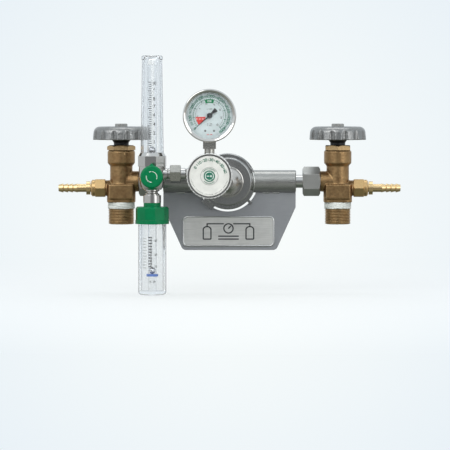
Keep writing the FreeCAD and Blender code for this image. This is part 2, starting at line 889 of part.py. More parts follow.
def build_gauge(d):
    """The pressure gauge on its socket above the control housing."""
    place = {"x": d.control_x, "z": d.gauge_z, "turned": TO_VIEWER}
    case = d.gauge_case_diameter / 2
    outside = case + d.bezel_wall
    inside = case - d.gauge_wall
    crown = d.bezel_crown
    window = outside - 2 * crown - d.bezel_slope_width
    lens_face = d.gauge_front - d.bezel_slope_depth
    rim = lens_face - d.lens_thickness
    bezel_back = d.gauge_front - d.bezel_depth
    dial_face = rim - d.dial_depth
    corner = d.gauge_case_corner

    socket = Piece("gauge_socket", x=d.control_x, y=-d.branch_depth)
    block_top = d.gauge_z - inside
    square = rectangle(d.socket_flats, d.socket_flats)
    neck = d.socket_neck_diameter / 2
    low = d.socket_square_bottom
    socket.revolve([
        (0, d.gauge_boss_top),
        (neck, d.gauge_boss_top),
        (neck, low),
        (0, low),
    ])
    socket.pad("XY_Plane", [square], low, block_top - low)
    saddle = Circle(d.gauge_case_diameter, y=d.gauge_z)
    socket.pocket("XZ_Plane", [saddle], 0, d.socket_flats * 2, both=True)

    piece = Piece("gauge_case", **place)
    piece.revolve([
        (0, d.gauge_back),
        (case - corner, d.gauge_back),
        (case, d.gauge_back + corner),
        (case, rim),
        (inside, rim),
        (inside, d.gauge_back + corner),
        (0, d.gauge_back + corner),
    ])

    bezel = Piece("gauge_bezel", **place)
    bezel.revolve([
        (case, bezel_back),
        (outside - crown, bezel_back),
        (outside, bezel_back + crown),
        (outside, d.gauge_front - crown),
        Arc(crown, -1),
        (outside - crown, d.gauge_front),
        (outside - 2 * crown, d.gauge_front),
        (window, lens_face),
        (case, lens_face),
    ])

    lens = Piece("gauge_lens", **place)
    lens.pad("XY_Plane", [Circle(d.gauge_case_diameter)], rim, d.lens_thickness)

    arbor = d.arbor_diameter / 2
    dial = Piece("gauge_dial", **place)
    disc = [Circle(inside * 2), Circle((arbor + d.running_gap) * 2)]
    dial.pad("XY_Plane", disc, dial_face - d.dial_thickness, d.dial_thickness)

    pointer = Piece("gauge_pointer", **place)
    blade_back = dial_face + d.pointer_rise
    blade_front = blade_back + d.pointer_thickness
    half = d.pointer_width / 2
    blade = [
        (d.pointer_length, 0),
        (0, half),
        (-d.pointer_hub / 2, half),
        (-d.pointer_tail, 2 * half),
        (-d.pointer_tail, -2 * half),
        (-d.pointer_hub / 2, -half),
        (0, -half),
    ]
    pointer.revolve([
        (0, blade_front - d.arbor_length),
        (arbor, blade_front - d.arbor_length),
        (arbor, blade_back),
        (d.pointer_hub / 2, blade_back),
        (d.pointer_hub / 2, blade_front + d.pointer_thickness / 2),
        (0, blade_front + d.pointer_thickness / 2),
    ])
    pointer.pad("XY_Plane", [turned_points(blade, ZERO_ANGLE)], blade_back, d.pointer_thickness)

    tube = Piece("bourdon_tube", **place)
    back = d.gauge_back + corner
    section = rectangle(
        d.bourdon_width, d.bourdon_height, x=d.bourdon_radius, y=back + d.bourdon_height
    )
    profile = tube.sketch("XZ_Plane", [section])
    loop = tube.feature("Revolution", profile)
    loop.ReferenceAxis = (profile, ["V_Axis"])
    loop.Angle = BOURDON_SWEEP
    reach = inside - d.free_gap
    foot = rectangle(reach - d.bourdon_radius, d.bourdon_height, x=(reach + d.bourdon_radius) / 2)
    tube.pad("XY_Plane", [foot], back, d.bourdon_height * 1.5)


def build_outlet(d):
    """The nipple from the control housing to the flowmeter, with its union nut."""
    place = {"y": -d.branch_depth, "z": d.outlet_z, "turned": TO_LEFT}
    outer = d.nipple_diameter / 2
    inner = outer - 1.5 * d.nipple_groove
    groove = d.nipple_groove
    start = d.outlet_boss_end
    union_end = d.union_start + d.union_length
    end = -d.flow_x - d.flow_inlet_reach
    outline = [(0, start), (outer, start)]
    for low, high in ((start, d.union_start), (union_end, end)):
        middle = (low + high) / 2
        outline += [
            (outer, middle - groove),
            (outer - groove, middle),
            (outer, middle + groove),
        ]
        if low is start:
            outline += [
                (outer, d.union_start),
                (inner, d.union_start),
                (inner, union_end),
                (outer, union_end),
            ]
    outline += [(outer, end), (0, end)]
    nipple = Piece("outlet_nipple", **place)
    nipple.revolve(outline)

    nut = Piece("union_nut", **place)
    chamfered_prism(nut, 6, d.union_flats, HEX_CORNER, d.union_start, union_end, UNION_TURN)
    nut.groove([
        (0, d.union_start),
        (inner, d.union_start),
        (inner, union_end),
        (0, union_end),
    ])


def build_flowmeter(d):
    """The upper flowmeter: chrome body, collar, metering tube with its float, and clear cover."""
    place = {"x": d.flow_x, "y": -d.branch_depth}
    radius = d.flow_body_diameter / 2
    foot = d.flow_body_foot / 2
    top = d.flow_body_top
    bottom = d.flow_body_bottom

    body = Piece("flowmeter_body", **place)
    body.revolve([
        (0, bottom),
        (foot - d.flow_body_chamfer, bottom),
        (foot, bottom + d.flow_body_chamfer_height),
        Arc(2 * radius, -1),
        (radius, d.needle_z),
        (radius, top),
        (0, top),
    ])
    inlet = Circle(d.flow_inlet_diameter, y=d.outlet_z)
    body.pad("YZ_Plane", [inlet], 0, d.flow_inlet_reach)
    boss = Circle(d.needle_boss_diameter, y=d.needle_z)
    body.pad("XZ_Plane", [boss], 0, d.needle_boss_reach)
    bore = Circle(d.needle_diameter + 2 * d.running_gap, y=d.needle_z)
    body.pocket("XZ_Plane", [bore], d.needle_boss_reach, d.needle_depth + d.free_gap)

    cover_foot = d.cover_foot_diameter / 2
    collar = Piece("tube_collar", **place)
    corner = d.collar_flats / 2 * OCTAGON_CORNER
    height = d.collar_top - top
    collar.pad("XY_Plane", [polygon(8, corner, start=COLLAR_TURN)], top, height)
    collar.groove([
        (cover_foot + d.free_gap, d.collar_top),
        (corner * CLEAR, d.collar_top),
        (corner * CLEAR, d.collar_side_top),
        (d.collar_flats / 2, d.collar_side_top),
    ])
    collar.groove([
        (0, top),
        (cover_foot, top),
        (cover_foot, d.collar_top),
        (0, d.collar_top),
    ])

    bore = d.metering_bore / 2
    tube_foot = top + d.cover_wall
    seat_top = d.ball_rest - d.ball_diameter / 2 - d.running_gap
    seat = Piece("float_seat", **place)
    seat.revolve([
        (0, top),
        (d.metering_diameter / 2, top),
        (d.metering_diameter / 2, tube_foot),
        (bore, tube_foot),
        (bore, seat_top),
        (0, seat_top),
    ])

    tube = Piece("metering_tube", **place)
    tube.revolve([
        (bore, tube_foot),
        (d.metering_diameter / 2, tube_foot),
        (d.metering_diameter / 2, d.metering_top),
        (bore, d.metering_top),
    ])
    build_ball(d, "float_ball", place, d.ball_diameter, d.ball_rest)

    plug = Piece("tube_top_plug", **place)
    plug.revolve([
        (0, d.metering_top),
        (d.plug_diameter / 2, d.metering_top),
        (d.plug_diameter / 2 - d.plug_taper, d.metering_top + d.plug_height),
        (0, d.metering_top + d.plug_height),
    ])

    head = d.cover_head_diameter / 2
    wall = d.cover_wall
    rim = head + d.cover_rim
    rim_bottom = d.cover_top - d.cover_rim_height
    dome = d.cover_top - d.cover_dome
    ceiling = d.cover_top - wall
    cover = Piece("tube_cover", **place)
    cover.revolve([
        (cover_foot - wall, top),
        (cover_foot, top),
        (cover_foot, d.collar_top),
        (head, rim_bottom),
        (rim, rim_bottom + d.cover_rim),
        (rim, dome),
        Arc(d.cover_dome, -1),
        (rim - d.cover_dome, d.cover_top),
        (0, d.cover_top),
        (0, ceiling),
        (head - wall - d.cover_dome, ceiling),
        (head - wall, rim_bottom),
        (cover_foot - wall, d.collar_top),
    ])


def build_ball(d, label, place, diameter, centre):
    """A steel float."""
    ball = doc.addObject("Part::Sphere", label)
    ball.Label = label
    ball.setExpression("Radius", (diameter / 2).text)
    set_place(ball, place["x"], place["y"], centre, UPRIGHT)
    sub_parts.append(ball)


def build_needle_valve(d):
    """The flowmeter's needle valve: bonnet, stem and green knob."""
    place = {"x": d.flow_x, "y": -d.branch_depth, "z": d.needle_z, "turned": TO_VIEWER}
    stem = d.needle_diameter / 2
    start = d.needle_boss_reach
    bonnet_front = start + d.needle_bonnet_length
    bonnet = Piece("needle_bonnet", **place)
    chamfered_prism(
        bonnet, 6, d.needle_bonnet_flats, HEX_CORNER, start, bonnet_front, 0, first=False
    )
    bore = stem + d.running_gap
    bonnet.groove([(0, start), (bore, start), (bore, bonnet_front), (0, bonnet_front)])

    back = bonnet_front + d.free_gap
    front = back + d.flow_knob_length
    floor = front - d.flow_knob_cap
    point = start - d.needle_depth
    needle = Piece("needle_stem", **place)
    needle.revolve([
        (0, point),
        (stem, point + stem),
        (stem, floor),
        (0, floor),
    ])

    radius = d.flow_knob_diameter / 2
    shoulder = d.flow_knob_shoulder
    knob = Piece("flow_knob", **place)
    knob.revolve([
        (stem, back),
        (radius, back),
        (radius, front - shoulder),
        Arc(shoulder, -1),
        (radius - shoulder, front),
        (0, front),
        (0, floor),
        (stem, floor),
    ])
    for sign, width, rise in (
        (1, d.flow_pointer_width, d.flow_pointer_rise),
        (-1, d.flow_tail_width, d.flow_tail_rise),
    ):
        base = (radius - rise) * sign
        tip = (radius + rise) * sign
        wedge = [(-width / 2 * sign, base), (width / 2 * sign, base), (0, tip)]
        knob.pad("XY_Plane", [wedge], back, d.flow_knob_length - shoulder)


def build_lower_flow_tube(d):
    """The outlet stem, the green cap nut and the clear lower tube with its own float."""
    place = {"x": d.flow_x, "y": -d.branch_depth}
    top = d.flow_body_bottom
    ring = d.stem_ring_diameter / 2
    waist = d.stem_waist_diameter / 2
    block = d.stem_block_diameter / 2
    tail = d.stem_tail_diameter / 2
    slope = (top - d.stem_block_top) / 5
    stem = Piece("outlet_stem", **place)
    stem.revolve([
        (0, top),
        (ring, top),
        (ring, top - slope),
        (waist, top - 2 * slope),
        (waist, top - 3 * slope),
        (ring, top - 4 * slope),
        (ring, d.stem_block_top),
        (block, d.stem_block_top),
        (block, d.stem_block_bottom),
        (tail, d.stem_block_bottom),
        (tail, d.stem_block_bottom - d.stem_tail_length),
        (0, d.stem_block_bottom - d.stem_tail_length),
    ])

    outside = d.lower_diameter / 2
    inside = outside - d.lower_wall
    ceiling = d.cap_top - d.cap_ceiling
    shelf = d.cap_bottom + d.cap_flange_height
    core = d.cap_flats / 2 - d.cap_relief
    cap = Piece("cap_nut", **place)
    cap.revolve([
        (tail, ceiling),
        (outside, ceiling),
        (outside, d.cap_bottom),
        (d.cap_flange_diameter / 2, d.cap_bottom),
        (d.cap_flange_diameter / 2, shelf),
        (core, shelf),
        (core, d.cap_top),
        (d.cap_neck_diameter / 2, d.cap_top),
        (d.cap_neck_diameter / 2, d.stem_block_bottom),
        (tail, d.stem_block_bottom),
    ])
    corner = d.cap_flats / 2 * DECAGON_CORNER
    ring_outline = [polygon(CAP_SIDES, corner, start=CAP_TURN), Circle(2 * core - d.cap_relief)]
    cap.pad("XY_Plane", ring_outline, shelf, d.cap_top - shelf)
    chamfer = corner - core
    cap.groove([
        (corner - chamfer, d.cap_top),
        (corner * CLEAR, d.cap_top),
        (corner * CLEAR, d.cap_top - chamfer),
        (corner, d.cap_top - chamfer),
    ])

    tube_top = d.cap_bottom + d.cap_grip
    floor = d.lower_bottom + d.lower_floor
    post = d.lower_metering_diameter / 2
    seat_bottom = d.lower_seat_top - d.lower_seat_thickness
    tube = Piece("lower_tube", **place)
    tube.revolve([
        (inside, tube_top),
        (outside, tube_top),
        (outside, d.lower_bottom + d.lower_corner),
        Arc(d.lower_corner, 1),
        (outside - d.lower_corner, d.lower_bottom),
        (0, d.lower_bottom),
        (0, seat_bottom),
        (post, seat_bottom),
        (post, floor),
        (inside, floor),
    ])

    seat = Piece("lower_seat", **place)
    seat.pad("XY_Plane", [Circle(d.lower_seat_diameter)], seat_bottom, d.lower_seat_thickness)

    bore = d.lower_metering_bore / 2
    metering = Piece("lower_metering_tube", **place)
    metering.revolve([
        (bore, d.lower_seat_top),
        (post, d.lower_seat_top),
        (post, ceiling),
        (bore, ceiling),
    ])
    rest = d.lower_seat_top + d.lower_ball_diameter / 2 + d.running_gap
    build_ball(d, "lower_ball", place, d.lower_ball_diameter, rest)


def build_valve(d, side, name):
    """One brass cylinder valve with its handwheel, safety plug and hose barb."""
    centre = d.valve_spacing / 2 * side
    turned = UPRIGHT if side > 0 else HALF_TURN
    place = {"x": centre, "turned": turned}
    thread = d.thread_diameter / 2
    column = d.column_diameter / 2
    head = d.head_diameter / 2
    bore = d.spindle_diameter / 2 + d.running_gap
    tape_bottom = d.block_bottom - d.tape_length
    under_tape = thread - d.thread_relief

    body = Piece(f"valve_body_{name}", **place)
    body.revolve([
        (0, d.thread_end),
        (thread - d.head_chamfer, d.thread_end),
        (thread, d.thread_end + d.head_chamfer),
        (thread, tape_bottom - d.tape_gap),
        (under_tape, tape_bottom - d.tape_gap),
        (under_tape, d.block_bottom),
        (column, d.block_bottom),
        (column, d.head_bottom - d.head_taper),
        (head, d.head_bottom),
        (head, d.head_top - d.head_chamfer),
        (head - d.head_chamfer, d.head_top),
        (0, d.head_top),
    ])
    block = rounded_rectangle(d.block_width, d.block_depth, d.block_corner)
    body.pad("XY_Plane", [block], d.block_bottom, d.block_top - d.block_bottom)
    middle = d.block_top - d.panel_height / 2
    panel = rounded_rectangle(d.panel_width, d.panel_height, d.panel_corner, y=middle)
    depth = d.block_depth + 2 * d.panel_rise
    body.pad("XZ_Plane", [panel], 0, depth, both=True)
    body.pad("YZ_Plane", [Circle(d.boss_diameter)], -d.inlet_boss_reach, d.inlet_boss_reach)
    outlet = Circle(d.hose_boss_diameter, y=d.outlet_drop)
    body.pad("YZ_Plane", [outlet], 0, d.hose_boss_end)
    body.groove([
        (0, d.spindle_foot - d.free_gap),
        (bore, d.spindle_foot - d.free_gap),
        (bore, d.head_top),
        (0, d.head_top),
    ])
    inlet = Circle(d.inlet_thread_diameter)
    body.pocket("YZ_Plane", [inlet], -d.inlet_boss_reach, d.inlet_thread_length, reverse=True)

    tape = Piece(f"thread_tape_{name}", **place)
    wrap = [Circle(d.thread_diameter + 2 * d.tape_thickness), Circle(2 * under_tape)]
    tape.pad("XY_Plane", wrap, tape_bottom, d.tape_length)

    nut_top = d.head_top + d.bonnet_nut_height
    nut = Piece(f"bonnet_nut_{name}", **place)
    turn = 90 if side > 0 else 0
    chamfered_prism(
        nut, 6, d.bonnet_nut_flats, HEX_CORNER, d.head_top, nut_top, turn, first=False
    )
    nut.groove([(0, d.head_top), (bore, d.head_top), (bore, nut_top), (0, nut_top)])

    shaft = d.spindle_diameter / 2
    step = nut_top + d.free_gap
    cup = step + d.spindle_step_height
    wheel_bottom = cup + d.spindle_cup_height
    wheel_top = wheel_bottom + d.wheel_height
    spindle = Piece(f"valve_spindle_{name}", **place)
    spindle.revolve([
        (0, d.spindle_foot),
        (shaft, d.spindle_foot),
        (shaft, step),
        (d.spindle_step_diameter / 2, step),
        (d.spindle_step_diameter / 2, cup),
        (d.spindle_cup_diameter / 2, wheel_bottom),
        (shaft, wheel_bottom),
        (shaft, wheel_top + d.spindle_top),
        (0, wheel_top + d.spindle_top),
    ])
    build_handwheel(d, name, place, wheel_bottom)
    build_hose_connector(d, side, name)

    plug = Piece(f"safety_plug_{name}", x=centre, z=d.safety_z, turned=TO_BACK)
    face = d.block_depth / 2 + d.panel_rise
    end = face + d.safety_length
    chamfered_prism(plug, 6, d.safety_flats, HEX_CORNER, face, end, 0, first=False)


def build_handwheel(d, name, place, bottom):
    """A cast wheel with a domed shoulder, a fluted rim and a hollow underside, and its nut."""
    radius = d.wheel_diameter / 2
    top = bottom + d.wheel_height
    shaft = d.spindle_diameter / 2
    shoulder = d.wheel_shoulder
    edge = d.wheel_edge
    wheel = Piece(f"handwheel_{name}", **place)
    wheel.revolve([
        (shaft, bottom),
        (d.wheel_hub_diameter / 2, bottom),
        (d.wheel_hub_diameter / 2, bottom + d.wheel_hollow),
        (radius - d.wheel_rim, bottom + d.wheel_hollow),
        (radius - d.wheel_rim, bottom),
        (radius, bottom),
        (radius - edge, top - shoulder),
        Arc(shoulder, -1),
        (radius - edge - shoulder, top),
        (shaft, top),
    ])
    reach = radius + d.wheel_flute - d.wheel_flute_depth
    flute = Circle(2 * d.wheel_flute, x=reach)
    cut = wheel.pocket("XY_Plane", [flute], bottom, d.wheel_height, reverse=True)
    wheel.repeat(cut, d.wheel_lobes)

    nut = Piece(f"wheel_nut_{name}", **place)
    nut_top = top + d.wheel_nut_height
    chamfered_prism(nut, 6, d.wheel_nut_flats, HEX_CORNER, top, nut_top, 0, first=False)
    nut.groove([
        (0, top),
        (shaft, top),
        (shaft, top + d.spindle_top),
        (0, top + d.spindle_top),
    ])


def build_hose_connector(d, side, name):
    """The connector nut and the hose barb that it holds on a valve's outlet boss."""
    turned = TO_RIGHT if side > 0 else TO_LEFT
    place = {"x": d.valve_spacing / 2 * side, "z": d.outlet_drop, "turned": turned}
    start = d.connector_start
    shoulder = start + d.connector_length
    end = shoulder + d.connector_shoulder_length
    step = d.connector_shoulder / 2
    chamfer = d.connector_chamfer
    boss = d.hose_boss_diameter / 2
    neck = d.barb_neck / 2
    flange = d.hose_boss_end
    flange_front = flange + d.barb_flange_thickness

    nut = Piece(f"connector_nut_{name}", **place)
    chamfered_prism(nut, 6, d.connector_flats, HEX_CORNER, start, shoulder, 90)
    nut.revolve([
        (neck, shoulder),
        (step, shoulder),
        (step, end - chamfer),
        (step - chamfer, end),
        (neck, end),
    ])
    nut.groove([
        (0, start),
        (boss, start),
        (boss, flange_front),
        (neck, flange_front),
        (neck, shoulder),
        (0, shoulder),
    ])

    tip = d.barb_diameter / 2
    root_radius = d.barb_root / 2
    ring = d.barb_ring_diameter / 2
    ring_end = d.barb_ring_start + d.barb_ring_width
    count = int(d.barb_count.value)
    outline = [
        (0, flange),
        (d.barb_flange_diameter / 2, flange),
        (d.barb_flange_diameter / 2, flange_front),
        (neck, flange_front),
        (neck, d.barb_ring_start),
        (ring, d.barb_ring_start),
        (ring, ring_end),
        (neck, ring_end),
    ]
    for i in range(count):
        crest = d.barb_end - d.barb_pitch * (count - i)
        outline += [
            (neck if i == 0 else root_radius, crest),
            (tip, crest),
            (tip, crest + d.barb_land),
        ]
    depth = d.barb_end - d.barb_bore_depth
    outline += [
        (root_radius, d.barb_end),
        (d.barb_bore / 2, d.barb_end),
        (d.barb_bore / 2, depth),
        (0, depth),
    ]
    barb = Piece(f"hose_barb_{name}", **place)
    barb.revolve(outline)


def check_document():
    """Stops at any object that failed to rebuild or any sub-part that isn't one valid solid."""
    for item in doc.Objects:
        if "Invalid" in item.State or "Error" in item.State:
            raise RuntimeError(f"{item.Name} failed: {item.State}")
    for part in sub_parts:
        shape = part.Shape
        if shape.isNull() or not shape.isValid() or len(shape.Solids) != 1:
            raise RuntimeError(f"{part.Label} isn't one valid solid")


def main():
    d = fill_sheet()
    for side, name in ((1, "right"), (-1, "left")):
        build_crossbar(d, side, name)
        build_valve(d, side, name)
    build_support_plate(d)
    build_drum(d)
    build_control_housing(d)
    build_pressure_knob(d)
    build_gauge(d)
    build_outlet(d)
    build_flowmeter(d)
    build_needle_valve(d)
    build_lower_flow_tube(d)
    doc.recompute()
    check_document()
    os.makedirs("parts", exist_ok=True)
    for part in sub_parts:
        part.Shape.exportStep(f"parts/{part.Label}.step")


main()
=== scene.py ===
import math

import bmesh
import bpy
from mathutils import Matrix, Vector, noise


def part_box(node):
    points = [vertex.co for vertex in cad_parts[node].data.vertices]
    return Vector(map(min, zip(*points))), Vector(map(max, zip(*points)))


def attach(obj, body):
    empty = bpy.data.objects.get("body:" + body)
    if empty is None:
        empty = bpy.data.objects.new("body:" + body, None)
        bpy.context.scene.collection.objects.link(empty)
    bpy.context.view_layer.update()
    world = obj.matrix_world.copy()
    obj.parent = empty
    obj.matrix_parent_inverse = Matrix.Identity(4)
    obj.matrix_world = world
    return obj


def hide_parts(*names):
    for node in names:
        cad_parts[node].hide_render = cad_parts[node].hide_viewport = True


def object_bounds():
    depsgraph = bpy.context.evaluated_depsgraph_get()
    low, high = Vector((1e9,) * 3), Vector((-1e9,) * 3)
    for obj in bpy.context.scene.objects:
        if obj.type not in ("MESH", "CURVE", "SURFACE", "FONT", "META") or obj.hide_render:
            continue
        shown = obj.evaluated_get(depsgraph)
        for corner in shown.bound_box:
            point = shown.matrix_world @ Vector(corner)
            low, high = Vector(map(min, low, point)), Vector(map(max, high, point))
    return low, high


# An oxygen manifold between two cylinder valves. Metres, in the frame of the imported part: the
# crossbar lies along X, the viewer looks along +Y, and Z is up.

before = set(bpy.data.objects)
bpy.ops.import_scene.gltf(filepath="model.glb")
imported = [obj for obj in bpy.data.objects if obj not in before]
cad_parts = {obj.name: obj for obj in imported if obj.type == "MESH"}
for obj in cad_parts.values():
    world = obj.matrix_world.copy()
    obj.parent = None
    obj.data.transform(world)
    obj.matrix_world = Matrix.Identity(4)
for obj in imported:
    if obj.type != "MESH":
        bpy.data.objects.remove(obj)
cad_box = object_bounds()

MM = 0.001
SIDES = {"left": -1, "right": 1}

# Where the photograph was taken from, and its scale at the crossbar
PIXEL = 1.17 * MM
IMAGE_PIXELS = 450
ORIGIN_PIXEL = (229.5, 181.3)
CAMERA_DISTANCE = 4.0
CAMERA_RISE = math.radians(2.5)
SENSOR = 36.0
VIEW_REACH = 100

# Colours, linear
PAPER = (0.94, 0.975, 0.97)
# The backdrop's colour away from straight ahead, darker and bluer: a painted falloff of light
PAPER_FALLOFF = (0.81, 0.88, 0.93)
FLOOR = (0.84, 0.86, 0.86)
GREEN = (0.0, 0.185, 0.065)
INKS = {
    "green ink": GREEN,
    "mid green ink": (0.012, 0.14, 0.085),
    "dark green ink": (0.02, 0.12, 0.075),
    # The next ink paints the reflection of the lower tube's ticks
    "painted reflection ink": (0.36, 0.38, 0.37),
    "red ink": (0.62, 0.045, 0.035),
    "black ink": (0.02, 0.022, 0.024),
    "grey ink": (0.13, 0.14, 0.135),
    "white ink": (0.75, 0.8, 0.76),
}
TAPE_SHADE = (0.42, 0.45, 0.42)
TAPE_WHITE = (0.82, 0.84, 0.8)

# How far print stands off a flat surface and off a round wall, and the width of the strips in
# which it follows a wall
PRINT = 0.04 * MM
WALL_PRINT = 0.12 * MM
WALL_STRIP = 0.5 * MM

# Stretches of a noise pattern's values over which a look changes, from soft to sharp
SOFT = (0.25, 0.75)
MEDIUM = (0.3, 0.7)
SHARP = (0.35, 0.65)
BEVEL_SAMPLES = 6


class Span:
    """The lowest and the highest corner of a CAD node, its middle and half its width."""

    def __init__(self, node):
        self.low, self.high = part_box(node)
        self.middle = (self.low + self.high) / 2
        self.radius = (self.high.x - self.low.x) / 2


class NodeTree:
    """A node tree that is built up call by call."""

    def __init__(self, tree):
        self.nodes = tree.nodes
        self.links = tree.links

    def add(self, kind, settings=None, **inputs):
        node = self.nodes.new(f"ShaderNode{kind}")
        for key, value in (settings or {}).items():
            setattr(node, key, value)
        for key, value in inputs.items():
            self.put(value, node.inputs[key.replace("_", " ")])
        return node

    def put(self, value, socket):
        if isinstance(value, bpy.types.NodeSocket):
            self.links.new(value, socket)
        elif isinstance(value, tuple) and len(value) == 3 and socket.type == "RGBA":
            socket.default_value = (*value, 1)
        else:
            socket.default_value = value

    def ramp(self, value, low, high, start=0.0, end=1.0):
        """Maps a value between low and high to a number between start and end."""
        node = self.add("MapRange", Value=value, From_Min=low, From_Max=high, To_Min=start,
                        To_Max=end)
        return node.outputs["Result"]

    def mix(self, factor, first, second, blend="MIX"):
        """Two colours mixed; the Mix node's colour sockets go by number, as their names repeat."""
        node = self.add("Mix", {"data_type": "RGBA", "blend_type": blend})
        self.put(factor, node.inputs[0])
        self.put(first, node.inputs[6])
        self.put(second, node.inputs[7])
        return node.outputs[2]

    def math(self, operation, first, second):
        node = self.add("Math", {"operation": operation})
        self.put(first, node.inputs[0])
        self.put(second, node.inputs[1])
        return node.outputs[0]

    def blend(self, factor, first, second, output):
        """Mixes two shaders into an output node's surface."""
        node = self.add("MixShader", Fac=factor)
        self.links.new(first, node.inputs[1])
        self.links.new(second, node.inputs[2])
        self.links.new(node.outputs[0], self.nodes[output].inputs["Surface"])


# Every material, by the name that it was made under
LOOKS = {}


class Shader(NodeTree):
    """A material and its principled shader."""

    def __init__(self, name, **sockets):
        self.material = LOOKS[name] = bpy.data.materials.new(name)
        self.material.use_nodes = True
        super().__init__(self.material.node_tree)
        self.surface = self.nodes["Principled BSDF"]
        for key, value in sockets.items():
            socket = self.surface.inputs[key.replace("_", " ")]
            socket.default_value = (*value, 1) if isinstance(value, tuple) else value
        self.where = self.nodes.new("ShaderNodeTexCoord").outputs["Object"]

    def noise(self, size, stretch=(1, 1, 1), detail=4.0, roughness=0.55):
        """A noise pattern whose grains are about size metres, longer along stretched axes."""
        scale = [1 / (size * axis) for axis in stretch]
        mapping = self.add("Mapping", Vector=self.where, Scale=scale)
        pattern = self.add("TexNoise", Vector=mapping.outputs["Vector"], Scale=1.0,
                           Detail=detail, Roughness=roughness)
        return pattern.outputs["Fac"]

    def bump(self, height, distance, strength=1.0, bevel=0.0):
        node = self.add("Bump", Height=height, Distance=distance, Strength=strength)
        if bevel:
            edge = self.add("Bevel", {"samples": BEVEL_SAMPLES}, Radius=bevel)
            self.links.new(edge.outputs["Normal"], node.inputs["Normal"])
        self.links.new(node.outputs["Normal"], self.surface.inputs["Normal"])

    def set(self, name, value):
        self.put(value, self.surface.inputs[name])


def metal(name, colour, roughness, grain=(1, 1, 1), grain_size=0.4 * MM, spread=0.12,
          bevel=0.25 * MM, metallic=1.0):
    """Machined or rolled metal: fine grain, cloudy tone and slightly broken edges."""
    cloud_size = 14 * MM
    grain_depth = 0.01 * MM
    grain_strength = 0.6
    smoother, rougher = 0.8, 1.25
    shader = Shader(name, Metallic=metallic)
    fine = shader.noise(grain_size, grain, detail=3)
    cloud = shader.noise(cloud_size, detail=3)
    tone = shader.math("ADD", shader.ramp(fine, *MEDIUM, -spread, spread), 1.0)
    tone = shader.math("ADD", tone, shader.ramp(cloud, *MEDIUM, -spread / 2, spread / 2))
    shader.set("Base Color", shader.mix(1.0, colour, tone, "MULTIPLY"))
    shader.set("Roughness", shader.ramp(fine, *SOFT, roughness * smoother, roughness * rougher))
    shader.bump(fine, grain_depth, grain_strength, bevel)


def plastic(name, colour, roughness=0.3, bevel=0.3 * MM, shine=0.5):
    """Moulded plastic: an even colour with faint flow marks and soft edges."""
    flow_size = 9 * MM
    flow_shade = 0.88
    grain_size = 1.2 * MM
    grain_depth = 0.006 * MM
    grain_strength = 0.8
    smoother, rougher = 0.85, 1.15
    shader = Shader(name, Specular_IOR_Level=shine)
    flow = shader.noise(flow_size, detail=2)
    shade = tuple(part * flow_shade for part in colour)
    shader.set("Base Color", shader.mix(shader.ramp(flow, *SHARP), shade, colour))
    fine = shader.noise(grain_size, detail=3)
    shader.set("Roughness", shader.ramp(fine, *MEDIUM, roughness * smoother, roughness * rougher))
    shader.bump(fine, grain_depth, grain_strength, bevel)


def clear(name, tint, edge, roughness=0.03, haze=0.0, bend=1.3):
    """Clear moulded plastic: its colour turns to the edge colour where it is seen edge on, painted
    shade for the dark edges of a clear wall, and light passes through it.
    """
    edge_shade_range = (0.5, 0.86)
    draw_size = 5 * MM
    draw_length = 40
    shade = 0.15
    shader = Shader(name, IOR=bend, Transmission_Weight=1.0 - haze)
    facing = shader.add("LayerWeight", Blend=0.5).outputs["Facing"]
    # Painted shade: the tint where the surface faces the viewer, the edge colour where it is seen
    # edge on
    shader.set("Base Color", shader.mix(shader.ramp(facing, *edge_shade_range), tint, edge))
    draw = shader.noise(draw_size, (1, 1, draw_length), detail=1)
    shader.set("Roughness", shader.ramp(draw, *MEDIUM, roughness * 0.5, roughness * 2))
    path = shader.add("LightPath").outputs
    light = shader.math("MAXIMUM", path["Is Shadow Ray"], path["Is Diffuse Ray"])
    shader.set("Alpha", shader.ramp(light, 0.0, 1.0, 1.0, shade))


def printed(name, colour):
    """Screen-printed ink."""
    grain_size = 0.5 * MM
    paler, lift = 1.25, 0.004
    shader = Shader(name, Roughness=0.6)
    grain = shader.noise(grain_size, detail=2)
    light = tuple(min(1.0, part * paler + lift) for part in colour)
    shader.set("Base Color", shader.mix(shader.ramp(grain, *SHARP), colour, light))


def cast_brass(name, deep, mid, bright):
    """Old cast brass: brown skin, duller patches, and bright metal where edges are rubbed."""
    cloud_size = 8 * MM
    patch_size = 2.2 * MM
    grain_size = 0.55 * MM
    grain_depth = 0.04 * MM
    # Pointiness, which is 0.5 on flat metal, more on edges and less in corners
    rubbed_from, rubbed_to = 0.51, 0.58
    hollow_from, hollow_to = 0.49, 0.42
    shader = Shader(name, Metallic=1.0)
    cloud = shader.noise(cloud_size, detail=5, roughness=0.6)
    patch = shader.noise(patch_size, detail=4)
    colour = shader.mix(shader.ramp(cloud, *SHARP), deep, mid)
    pointed = shader.add("NewGeometry").outputs["Pointiness"]
    worn = shader.ramp(pointed, rubbed_from, rubbed_to, 0.0, 0.7)
    worn = shader.math("MULTIPLY", worn, shader.ramp(patch, 0.3, 0.6, 0.4, 1.0))
    colour = shader.mix(worn, colour, bright)
    hollow = shader.ramp(pointed, hollow_from, hollow_to, 0.0, 0.8)
    colour = shader.mix(hollow, colour, tuple(part * 0.35 for part in deep))
    shader.set("Base Color", colour)
    shader.set("Roughness", shader.ramp(patch, *MEDIUM, 0.33, 0.46))
    grain = shader.noise(grain_size, detail=4)
    shader.bump(grain, grain_depth, 0.7)


